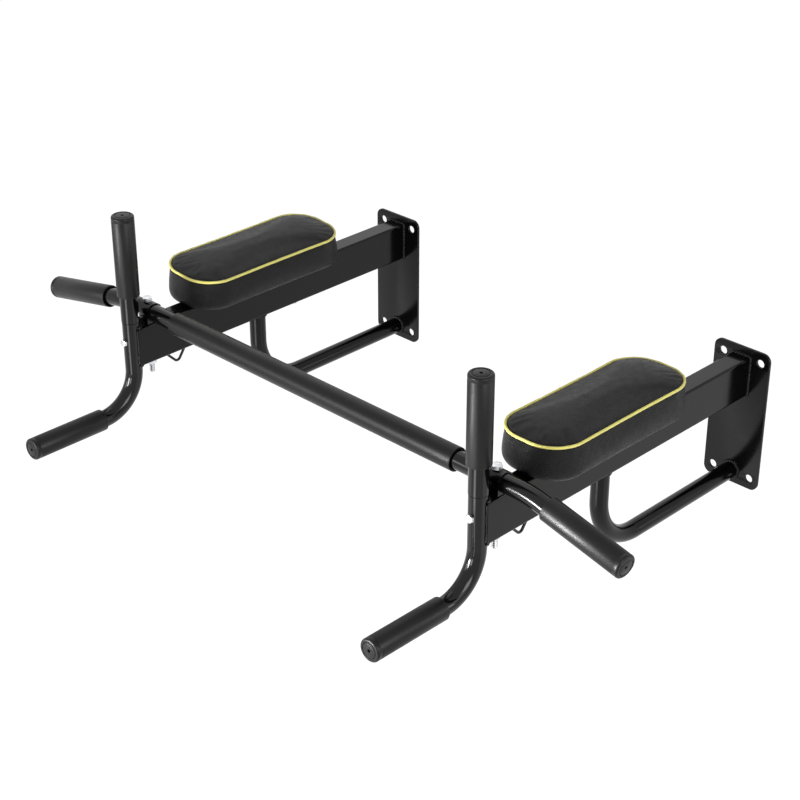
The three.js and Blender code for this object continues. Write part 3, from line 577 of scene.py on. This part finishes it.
def foam_grip(radius, length, bore, closed=True):
    """A grip on +Z: rounded foot, and where closed a shouldered cap with groove and vent."""
    profile = [(bore, BORE_EDGE), (bore + BORE_EDGE, 0)]
    profile += arc((radius - GRIP_EDGE, GRIP_EDGE), GRIP_EDGE, -90, 0, 5)
    if closed:
        ring, neck = length - SHOULDER - SEAM_RING, radius - RING_DEPTH
        profile += [(radius, ring - 0.6), (neck, ring - 0.15), (neck, ring + 0.15),
                    (radius, ring + 0.6)]
        profile += arc((radius - SHOULDER, length - SHOULDER), SHOULDER, 0, 84, 10)
        groove, half = radius - GROOVE_INSET, GROOVE_WIDTH / 2
        profile += [(groove + half + GROOVE_EASE, length), (groove + half, length - 0.15),
                    (groove + GROOVE_EASE, length - GROOVE_DEPTH),
                    (groove - GROOVE_EASE, length - GROOVE_DEPTH),
                    (groove - half, length - 0.15), (groove - half - GROOVE_EASE, length),
                    (VENT_RADIUS + 0.5, length), (VENT_RADIUS, length - 0.5),
                    (VENT_RADIUS, length - GRIP_CAP), (bore, length - GRIP_CAP)]
    else:
        profile += arc((radius - GRIP_EDGE, length - GRIP_EDGE), GRIP_EDGE, 0, 90, 5)
        profile += [(bore + BORE_EDGE, length), (bore, length - BORE_EDGE)]
    size = 96
    points, faces = turned(profile, size)
    last = (len(profile) - 1) * size
    for i in range(size):
        after = (i + 1) % size
        faces.append((last + i, last + after, after, i))
    return points, faces


def hexagon(flats, height, samples=72, bore=0):
    """A chamfered hexagon on +Z from z 0."""
    angles = np.arange(samples) * 2 * math.pi / samples
    reach = flats / 2 / np.cos((angles + math.pi / 6) % (math.pi / 3) - math.pi / 6)
    flat = flats / 2 * HEX_FLAT_SHARE
    edge = height - (reach - flat) * math.tan(HEX_RISE)
    unit_ring = circle(samples)

    def ring(radii, heights):
        points = unit_ring * np.reshape(radii, (-1, 1))
        return np.column_stack([points, np.broadcast_to(heights, samples)])

    full = np.ones(samples)
    rings = [ring(full * bore, 0), ring(reach, 0), ring(reach, edge), ring(full * flat, height),
             ring(full * bore, height)]
    return skin(rings, looped=bore > 0)


def threaded(length, radius, pitch, sides=36, plain=0):
    """A threaded rod down -Z from z 0; the part nearest the head may be plain."""
    per_turn = 8
    heights = np.arange(0, length, pitch / per_turn)
    angles = np.arange(sides) * 2 * math.pi / sides
    rings = []
    for h in heights:
        wave = np.abs(((h / pitch + angles / (2 * math.pi)) % 1) * 2 - 1)
        radii = np.full(sides, radius) if h < plain else radius - THREAD_SHARE * pitch * (1 - wave)
        if length - h < pitch:
            radii = np.minimum(radii, radius - (pitch - (length - h)))
        rings.append(np.column_stack([radii * np.cos(angles), radii * np.sin(angles),
                                      np.full(sides, -h)]))
    return skin(rings, capped=True)


def bolt(size, length, plain=0):
    """A hexagon bolt whose head stands on z 0 and whose thread runs down -Z."""
    thread = threaded(length, size["radius"], size["pitch"], plain=plain)
    return joined(hexagon(size["flats"], size["head"]), thread)


def saddle(x):
    """A strap bent over the bar, with rounded corners."""
    seat = BAR_RADIUS + GAP
    half = SADDLE_LENGTH / 2
    across = np.concatenate([-half + SADDLE_CORNER * (1 - np.cos(np.linspace(0, math.pi / 2, 9))),
                             np.linspace(-half + SADDLE_CORNER, half - SADDLE_CORNER, 8)[1:-1],
                             half - SADDLE_CORNER * (1 - np.cos(np.linspace(math.pi / 2, 0, 9)))])
    over = np.maximum(np.abs(across) - (half - SADDLE_CORNER), 0)
    trim = SADDLE_CORNER - np.sqrt(np.maximum(SADDLE_CORNER ** 2 - over ** 2, 0))
    steps = 40
    sheets = []
    for radius in (seat, seat + SADDLE_THICKNESS):
        rows = []
        for u, cut in zip(across, trim):
            limit = SADDLE_ANGLE - cut / seat
            t = np.linspace(-limit, limit, steps + 1)
            rows.append(np.stack([np.full(steps + 1, x + u), BAR_Y + radius * np.sin(t),
                                  BAR_Z + radius * np.cos(t)], 1))
        sheets.append(np.array(rows))
    rows, columns = sheets[0].shape[:2]
    points = np.concatenate([s.reshape(-1, 3) for s in sheets])
    top = rows * columns

    def at(row, column):
        return row * columns + column

    faces = []
    for r in range(rows - 1):
        for c in range(columns - 1):
            quad = (at(r, c), at(r, c + 1), at(r + 1, c + 1), at(r + 1, c))
            faces += [quad, tuple(top + i for i in quad[::-1])]
    rim = [at(0, c) for c in range(columns)] + [at(r, columns - 1) for r in range(1, rows)]
    rim += [at(rows - 1, c) for c in range(columns - 2, -1, -1)]
    rim += [at(r, 0) for r in range(rows - 2, 0, -1)]
    faces += [(a, b, top + b, top + a) for a, b in zip(rim, rim[1:] + rim[:1])]
    return points, faces


def cradle(x):
    """The seat below the bar, flat on the arm."""
    seat = BAR_RADIUS + GAP
    t = np.linspace(-CRADLE_ANGLE, CRADLE_ANGLE, 33)
    top = np.stack([seat * np.sin(t), BAR_Z - seat * np.cos(t)], 1)
    half = seat * math.sin(CRADLE_ANGLE)
    section = np.vstack([top, [(half, GAP), (-half, GAP)]])
    rings = [[(x + side * CRADLE_LENGTH / 2, BAR_Y + y, z) for y, z in section] for side in (-1, 1)]
    return skin(rings, capped=True)


def bar_end(side):
    """The direction of the bar beyond its bend."""
    return np.array([side * math.cos(BAR_ANGLE), -math.sin(BAR_ANGLE) * math.sin(BAR_LEAN),
                     -math.sin(BAR_ANGLE) * math.cos(BAR_LEAN)])


def band_hook(x):
    """A wire bent to a lopsided V below the arm."""
    top = -ARM_HEIGHT - GAP
    corners = [(x, HOOK_Y - HOOK_FRONT, top), (x, HOOK_Y, top - HOOK_DEPTH),
               (x, HOOK_Y + HOOK_REAR, top)]
    path = bent_path(corners, HOOK_BEND, steps=24)
    shapes = [rod(path, (1, 0, 0), HOOK_RADIUS, sides=28)]
    for _, y, _ in (corners[0], corners[2]):
        seam = [(x, y + reach, top + HOOK_WELD_RISE)
                for reach in (-HOOK_WELD_REACH, HOOK_WELD_REACH)]
        shapes.append(weld_bead(seam, (1, 0, 0), radius=HOOK_WELD_RADIUS))
    return joined(*shapes)


bar_bends = {side: np.array([side * BAR_BEND_X, BAR_Y, BAR_Z]) for side in (-1, 1)}
bar_reach = END_GRIP_START + END_GRIP["length"] - GRIP_CAP - GAP
bar_path = bent_path([bar_bends[-1] + bar_reach * bar_end(-1), bar_bends[-1], bar_bends[1],
                      bar_bends[1] + bar_reach * bar_end(1)], BAR_BEND, steps=16)
bar_normal = np.cross((1, 0, 0), (0, -math.sin(BAR_LEAN), -math.cos(BAR_LEAN)))
piece("bar", tube(bar_path, bar_normal, BAR_RADIUS, BAR_RADIUS - BAR_WALL), GLOSS,
      ["pull_up_bar"])
center_start = (-CENTER_GRIP["length"] / 2, BAR_Y, BAR_Z)
center_foam = placed(foam_grip(**CENTER_GRIP, closed=False), center_start, (1, 0, 0))
soft = [piece("center_foam", center_foam, FOAM, ["center_grip"])]

HEAD_Z = BAR_Z + BAR_RADIUS + GAP + SADDLE_THICKNESS + GAP
UNDER_ARM = -ARM_HEIGHT - GAP
WASHER_BORE = LARGE["radius"] + 0.4
WASHER_PROFILE = [(WASHER_BORE, 0), (WASHER_RADIUS - WASHER_EASE, 0),
                  (WASHER_RADIUS, WASHER_EASE), (WASHER_RADIUS, WASHER_THICKNESS - WASHER_EASE),
                  (WASHER_RADIUS - WASHER_EASE, WASHER_THICKNESS),
                  (WASHER_BORE, WASHER_THICKNESS), (WASHER_BORE, 0)]
RIVET_PROFILE = [(0, -RIVET_TAIL), (RIVET_SHANK, -RIVET_TAIL), (RIVET_SHANK, 0), (RIVET_HEAD, 0)]
RIVET_PROFILE += [(RIVET_HEAD * math.cos(a), RIVET_RIM + RIVET_DOME * math.sin(a))
                  for a in np.linspace(0, 1.35, 9)]
RIVET_PROFILE += [(0.65, 1.85), (0.6, 1.4), (0, 1.4)]
for tag, side in SIDES.items():
    x = side * SPACING / 2

    def put(name, shape, material, node, **more):
        return piece(f"{name}_{tag}", shape, material, [f"{node}_{tag}"], **more)

    put("plate", wall_plate(x), PAINT, "wall_plate")
    put("arm", arm_tube(x), PAINT, "arm_tube", sharp=50)
    put("brace", brace_tube(x), PAINT, "brace_tube")
    put("handle", handle_tube(x), GLOSS, "handle_tube")
    post_top = UPRIGHT_GRIP_Z + UPRIGHT_GRIP["length"] - GRIP_CAP - GAP
    post = tube([(x, HANDLE_Y, POST_BOTTOM), (x, HANDLE_Y, post_top)], (1, 0, 0), POST_RADIUS,
                POST_RADIUS - POST_WALL)
    put("post", post, GLOSS, "upright_post")
    put("hook", band_hook(x), GLOSS, "band_hook")
    foot = (x, HANDLE_Y, UPRIGHT_GRIP_Z)
    end_start = bar_bends[side] + END_GRIP_START * bar_end(side)
    for name, node, size, start, axis in (
            ("upright_foam", "upright_grip", UPRIGHT_GRIP, foot, (0, 0, 1)),
            ("dip_foam", "dip_grip", DIP_GRIP, (x, DIP_GRIP_Y, -HANDLE_DROP), (0, -1, 0)),
            ("end_foam", "end_grip", END_GRIP, end_start, bar_end(side))):
        soft.append(put(name, placed(foam_grip(**size), start, axis), FOAM, node))
    put("strap", saddle(x), GLOSS, "bar_saddle", bevel=SHEET_EDGE)
    put("seat", cradle(x), GLOSS, "bar_cradle", bevel=SHEET_EDGE)

    bar_bolt = bolt(LARGE, HEAD_Z - UNDER_ARM + WASHER_THICKNESS + NUT_HEIGHT + BOLT_TAIL,
                    plain=BOLT_PLAIN)
    put("saddle_bolt", placed(bar_bolt, (x, BAR_Y, HEAD_Z)), ZINC, "bar_bolt")
    washer_z = UNDER_ARM - WASHER_THICKNESS
    put("washer", placed(turned(WASHER_PROFILE), (x, BAR_Y, washer_z)), ZINC, "bar_washer")
    nut = hexagon(LARGE["flats"], NUT_HEIGHT, bore=LARGE["radius"])
    put("nut", placed(nut, (x, BAR_Y, washer_z - GAP), (0, 0, -1)), ZINC, "bar_nut")
    front = (x, HANDLE_Y - HANDLE_RADIUS - GAP, POST_BOLT_Z)
    handle_bolt = placed(bolt(SMALL, HANDLE_BOLT_LENGTH), front, (0, -1, 0))
    put("handle_bolt", handle_bolt, ZINC, "post_bolt")
    out = np.array([-side * math.cos(RIVET_TURN), math.sin(RIVET_TURN), 0])
    rivet = placed(turned(RIVET_PROFILE, sides=40), (x, HANDLE_Y, RIVET_Z) + out * POST_RADIUS, out)
    put("rivet", rivet, ZINC, "post_rivet")
    for place, y in PAD_SCREW_YS.items():
        screw = placed(bolt(LARGE, PAD_SCREW_RISE - UNDER_ARM), (x, y, UNDER_ARM), (0, 0, -1))
        piece(f"pad_bolt_{place}_{tag}", screw, ZINC, [f"pad_screw_{place}_{tag}"])

# Inner solids whose CAD shape stays
KEPT = {"post_spigot": STEEL, "post_nut": ZINC, "pad_tnut_front": ZINC, "pad_tnut_rear": ZINC,
        "pad_board": PLYWOOD}
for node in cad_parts.values():
    kind = node.name.rsplit("_", 1)[0]
    if kind in KEPT:
        for slot in node.material_slots:
            slot.link = "OBJECT"
            slot.material = KEPT[kind]

# Pads: (offset outwards, height) of each ring of the cover, from its lip below to its crown
PAD_STEP, PIPING_STEP, LIP = 3.0, 1.5, 18
FOOT = [(-LIP, 8), (-LIP, 1.2), (-17.2, 0.5), (-15, GAP), (-12, GAP), (-9.5, 0.45), (-7.4, 1.1)]
SKIRT = [(-5.2, 2.3), (-3.4, 4), (-1.9, 6.2), (-0.9, 8.8), (-0.5, 11.5), (-0.4, 14.5),
         (-0.5, 18), (-0.8, 21.5), (-1.1, 25), (-1.5, 28.5), (-1.9, 32), (-2.4, 35.5),
         (-2.9, 39), (-3.3, 42), (-3.6, 44.4), (-3.9, 46.2)]
SEAM = [(-4.6, 47.1), (-5.9, 47.6), (-6.1, 49), (-6.3, 50.2)]
CROWN = [(-7, 51.2), (-8.1, 52.4), (-9.6, 53.3), (-11.8, 54), (-14.5, 54.4), (-17.5, 54.7)]
PROFILE = FOOT + SKIRT + SEAM + CROWN
CROWN_TOP = 54.9
SWELL_FRAMES, SWELL_PRESSURE, SWELL_CAP = 20, 4, 6
LEAN_FROM, CORNER_SHARE = 8, 0.72
PIPING_WANDER, PIPING_RISE, PIPING_NOISE = 0.25, 0.35, 0.08
DOT_PITCH = 2.2


def pad_outline(step):
    """Points round the pad's widest line, its long sides pulled in a little, and their normals."""
    outline, normals = rounded_outline(PAD_WIDTH, PAD_LENGTH, PAD_CORNER, step)
    reach = PAD_LENGTH / 2 - PAD_CORNER
    straight = np.abs(normals[:, 0]) > 0.999
    waist = PAD_WAIST * np.clip(1 - (outline[:, 1] / reach) ** 2, 0, 1) * straight
    return outline - normals * waist[:, None], normals


def coons(ring, split):
    """A grid of points inside a closed ring, whose four corners are at the indices in split."""
    size = len(ring)
    corner = list(split) + [split[0] + size]
    sides = [np.array([ring[i % size] for i in range(first, last + 1)])
             for first, last in zip(corner, corner[1:])]
    bottom, right, top, left = sides[0], sides[1], sides[2][::-1], sides[3][::-1]
    u = np.linspace(0, 1, len(bottom))[:, None, None]
    v = np.linspace(0, 1, len(right))[None, :, None]
    grid = (1 - v) * bottom[:, None] + v * top[:, None] + (1 - u) * left[None] + u * right[None]
    grid -= ((1 - u) * (1 - v) * bottom[0] + u * (1 - v) * bottom[-1]
             + (1 - u) * v * top[0] + u * v * top[-1])
    return grid


def filled(ring, first, count, rise):
    """Quads that close a ring whose points start at index first; new points follow index count."""
    size = len(ring)
    quarter = size // 4
    # the inner grid's corners lie on the bends
    shift = int(quarter * CORNER_SHARE)
    grid = coons(ring, [shift, 2 * quarter - shift, 2 * quarter + shift, 4 * quarter - shift])
    rows, columns = grid.shape[:2]
    known = {tuple(np.round(p[:2], 4)): first + i for i, p in enumerate(ring)}
    index = -np.ones((rows, columns), int)
    extra, faces = [], []
    for r in range(rows):
        for c in range(columns):
            x, y = grid[r, c, :2]
            key = (round(x, 4), round(y, 4))
            on_rim = r in (0, rows - 1) or c in (0, columns - 1)
            if on_rim and key in known:
                index[r, c] = known[key]
            else:
                index[r, c] = count + len(extra)
                extra.append((x, y, ring[0][2] + rise(x, y)))
    for r in range(rows - 1):
        for c in range(columns - 1):
            faces.append((index[r, c], index[r, c + 1], index[r + 1, c + 1], index[r + 1, c]))
    return np.array(extra), faces


def pad_mesh():
    """The cover round its own middle, its ring's size, and how many points close it below."""
    outline, normals = pad_outline(PAD_STEP)
    size = len(outline)
    points, faces = skin([np.column_stack([outline + offset * normals, np.full(size, z)])
                          for offset, z in PROFILE])
    rings = points.reshape(-1, size, 3)
    inner = PAD_WIDTH / 2 + PROFILE[-1][0]

    def crown(x, y):
        near = max(abs(y) - (PAD_LENGTH / 2 - PAD_WIDTH / 2), 0)
        share = 1 - min(math.hypot(x, near) / inner, 1)
        return (CROWN_TOP - PROFILE[-1][1]) * (1 - (1 - share) ** 2)

    top, top_faces = filled(rings[-1], len(points) - size, len(points), crown)
    under, under_faces = filled(rings[0], 0, len(points) + len(top), lambda x, y: 0)
    faces += top_faces + [face[::-1] for face in under_faces]
    return np.vstack([points, top, under]), faces, size, len(under)


def swell(pad, held):
    """Puffs the cover up between its held rows, as cloth under pressure."""
    scene, mesh = bpy.context.scene, pad.data
    before = np.array([v.co for v in mesh.vertices])
    group = pad.vertex_groups.new(name="held")
    group.add(held, 1, "REPLACE")
    cloth = pad.modifiers.new("swell", "CLOTH")
    settings = cloth.settings
    settings.use_pressure, settings.uniform_pressure_force = True, SWELL_PRESSURE
    settings.vertex_group_mass = group.name
    settings.effector_weights.gravity = 0
    cloth.collision_settings.use_collision = False
    cloth.point_cache.frame_start, cloth.point_cache.frame_end = 1, SWELL_FRAMES
    for number in range(1, SWELL_FRAMES + 1):
        scene.frame_set(number)
    swollen = pad.evaluated_get(bpy.context.evaluated_depsgraph_get())
    after = np.array([v.co for v in swollen.to_mesh().vertices])
    swollen.to_mesh_clear()
    pad.modifiers.remove(cloth)
    pad.vertex_groups.remove(group)
    scene.frame_set(1)
    moved = after - before
    far = np.linalg.norm(moved, axis=1)
    cap = np.minimum(1, SWELL_CAP * MM / np.maximum(far, 1e-9))
    return before + moved * cap[:, None]


def pad_leaned(points, tag, x):
    """Tilts the pad's upper part sideways, not its foot."""
    share = np.clip((points[:, 2] - LEAN_FROM) / (SEAM_Z - LEAN_FROM), 0, 1)
    lifted = points.copy()
    lifted[:, 2] += PAD_LEAN[tag] * (points[:, 0] - x) * share
    return lifted


def make_pad(tag, side):
    """The cover, which stands for the foam too, and the piping in its seam."""
    x = side * SPACING / 2
    place = np.array([x, PAD_MIDDLE_Y - side * PAD_STAGGER, 0])
    points, faces, size, under = pad_mesh()
    pad = piece(f"pad_skin_{tag}", (points + place, faces), LEATHER,
                [f"pad_cover_{tag}", f"pad_foam_{tag}"], sharp=180)
    seam_start = (len(FOOT) + len(SKIRT)) * size
    held = list(range(len(FOOT) * size))
    held += list(range(seam_start, seam_start + len(SEAM) * size))
    held += list(range(len(points) - under, len(points)))
    emboss(pad, place)
    shape = swell(pad, held)
    shape = pad_leaned(shape / MM, tag, x) * MM
    pad.data.vertices.foreach_set("co", shape.ravel())
    pad.data.update()
    smooth = pad.modifiers.new("smooth", "SUBSURF")
    smooth.levels = smooth.render_levels = 1

    ring, normals = pad_outline(PIPING_STEP)
    spots = [(*(p * PIPING_NOISE), 7 * side) for p in ring]
    wander = np.array([noise.noise(Vector(spot)) for spot in spots])
    ring = ring + normals * (SEAM_OFFSET + PIPING_WANDER * wander)[:, None] + place[:2]
    path = pad_leaned(np.column_stack([ring, SEAM_Z + PIPING_RISE * wander]), tag, x)
    cord = rod(path, (0, 0, 1), PIPING_RADIUS, sides=20, looped=True)
    piece(f"piping_cord_{tag}", cord, PIPING, [f"pad_piping_{tag}"], sharp=180)


def emboss(pad, place):
    """Gives each face corner its place in the dot grid, round and up the side or along the top."""
    mesh = pad.data
    straight, end = PAD_LENGTH / 2 - PAD_CORNER, PAD_WIDTH / 2 - PAD_CORNER
    quarter = straight + PAD_CORNER * math.pi / 2 + end
    pitch = 4 * quarter / round(4 * quarter / DOT_PITCH)
    band = mesh.attributes.new(EMBOSS_ATTRIBUTE, "FLOAT_VECTOR", "CORNER")

    def along(dx, dy):
        px, py = abs(dx), abs(dy)
        if py <= straight:
            s = py
        elif px <= end:
            s = quarter - px
        else:
            s = straight + PAD_CORNER * math.atan2(py - straight, px - end)
        if dy >= 0:
            return s if dx >= 0 else 2 * quarter - s
        return 2 * quarter + s if dx < 0 else 4 * quarter - s

    values = []
    for face in mesh.polygons:
        corners = [np.array(mesh.vertices[i].co) / MM - place for i in face.vertices]
        if min(c[2] for c in corners) > SEAM_Z:
            spots = [(c[0], c[1]) for c in corners]
        else:
            spots = [(along(c[0], c[1]), c[2]) for c in corners]
            if max(s for s, _ in spots) - min(s for s, _ in spots) > 2 * quarter:
                spots = [(s + 4 * quarter if s < 2 * quarter else s, z) for s, z in spots]
        for s, z in spots:
            values += [s / pitch, z / pitch, 0]
    band.data.foreach_set("vector", values)


for tag, side in SIDES.items():
    make_pad(tag, side)


# Light, floor and camera
def light(name, place, target, size, power, spread=180):
    data = bpy.data.lights.new(name, "AREA")
    data.shape, data.size, data.size_y, data.energy = "RECTANGLE", size[0], size[1], power
    data.spread = math.radians(spread)
    lamp = bpy.data.objects.new(name, data)
    lamp.location = place
    lamp.rotation_euler = (Vector(target) - Vector(place)).to_track_quat("-Z", "Y").to_euler()
    lamp.visible_camera = False
    bpy.context.scene.collection.objects.link(lamp)


def from_angles(azimuth, elevation, distance):
    """An offset, with azimuth 0 straight out from the wall and both angles in degrees."""
    azimuth, elevation = math.radians(azimuth), math.radians(elevation)
    level = math.cos(elevation)
    way = (math.sin(azimuth) * level, -math.cos(azimuth) * level, math.sin(elevation))
    return Vector(way) * distance


MIDDLE, LAMP_DISTANCE = Vector((0, -0.35, -0.05)), 4
# azimuth, elevation, watts, width and height of the soft boxes round the object
LAMPS = {
    "key": (-15, 3, 150, 0.6, 1.5),
    "front": (8, -2, 30, 1.05, 1.05),
    "low": (6, -26, 24, 1.3, 1.05),
    "fill": (-38, 6, 22, 1.05, 1.05),
    "side": (75, 20, 60, 1.75, 1.75),
    "far_side": (100, 20, 16, 1.75, 1.75),
    "side_low": (100, -30, 5, 1.75, 1.75),
    "rim_left": (-115, 30, 4, 1.75, 1.75),
    "rim_back": (-140, 30, 3, 1.75, 1.75),
    "rim_top": (-120, 60, 7, 1.75, 1.75),
    "rim_right": (130, -30, 0.5, 1.75, 1.75),
    "rim_side": (123, 8, 20, 1.2, 1.2),
}
for name, (azimuth, elevation, watts, width, height) in LAMPS.items():
    place = MIDDLE + from_angles(azimuth, elevation, LAMP_DISTANCE)
    light(name, place, MIDDLE, (width, height), watts)
# a small lamp close to the right end of the bar
ACCENT_TARGET, ACCENT_DISTANCE = Vector((0.46, -0.53, -0.01)), 0.7
ACCENT_ANGLES, ACCENT_SIZE, ACCENT_WATTS, ACCENT_SPREAD = (-31, -5), (0.18, 0.18), 0.45, 30
light("accent", ACCENT_TARGET + from_angles(*ACCENT_ANGLES, ACCENT_DISTANCE), ACCENT_TARGET,
      ACCENT_SIZE, ACCENT_WATTS, ACCENT_SPREAD)
# a low strip along the wall, which the wall plates mirror as a grey band
STRIP_PLACE, STRIP_TARGET = Vector((-1.2, -2.3, -1.6)), Vector((-1.2, -0.1, -0.106))
STRIP_SIZE, STRIP_WATTS = (2.8, 0.22), 2
light("strip", STRIP_PLACE, STRIP_TARGET, STRIP_SIZE, STRIP_WATTS)

AMBIENT, FLOOR_GLOW, FLOOR_GREY, FLOOR_ROUGHNESS = 0.16, 0.95, 0.36, 0.9


def background(tree, glow=1, ambient=0):
    """The white background's strength: glow for camera, transmission and glossy rays."""
    path = tree.nodes.new("ShaderNodeLightPath")
    total = None
    rays = {"Is Camera Ray": glow, "Is Transmission Ray": glow, "Is Glossy Ray": glow,
            "Is Diffuse Ray": ambient}
    for ray, factor in rays.items():
        node = tree.nodes.new("ShaderNodeMath")
        node.operation = "MULTIPLY_ADD"
        tree.links.new(path.outputs[ray], node.inputs[0])
        node.inputs[1].default_value = factor
        node.inputs[2].default_value = 0
        if total is not None:
            tree.links.new(total, node.inputs[2])
        total = node.outputs[0]
    return total


world = bpy.data.worlds.new("studio")
bpy.context.scene.world = world
world.use_nodes = True
tree = world.node_tree
tree.nodes.clear()
out = tree.nodes.new("ShaderNodeOutputWorld")
back = tree.nodes.new("ShaderNodeBackground")
back.inputs["Color"].default_value = (1, 1, 1, 1)
tree.links.new(back.outputs[0], out.inputs[0])
tree.links.new(background(tree, ambient=AMBIENT), back.inputs["Strength"])

floor_mesh = bpy.data.meshes.new("floor")
half = FLOOR_SIZE / 2
corners = [(sx * half, sy * half, FLOOR_Z) for sx, sy in ((-1, -1), (1, -1), (1, 1), (-1, 1))]
floor_mesh.from_pydata(corners, [], [(0, 1, 2, 3)])
floor = bpy.data.objects.new("floor", floor_mesh)
bpy.context.scene.collection.objects.link(floor)
pale = bpy.data.materials.new("pale_floor")
pale.use_nodes = True
shader = pale.node_tree.nodes["Principled BSDF"]
shader.inputs["Base Color"].default_value = (*grey(FLOOR_GREY), 1)
shader.inputs["Roughness"].default_value = FLOOR_ROUGHNESS
shader.inputs["Specular IOR Level"].default_value = 0
shader.inputs["Emission Color"].default_value = (1, 1, 1, 1)
pale.node_tree.links.new(background(pale.node_tree, FLOOR_GLOW), shader.inputs["Emission Strength"])
floor_mesh.materials.append(pale)

data = bpy.data.cameras.new("view")
data.lens, data.sensor_width = LENS, SENSOR
camera = bpy.data.objects.new("view", data)
camera.location = CAMERA_PLACE
camera.rotation_euler = (math.pi / 2 - CAMERA_ELEVATION, 0, CAMERA_AZIMUTH)
bpy.context.scene.collection.objects.link(camera)
bpy.context.scene.camera = camera
bpy.context.scene.view_settings.view_transform = "Standard"
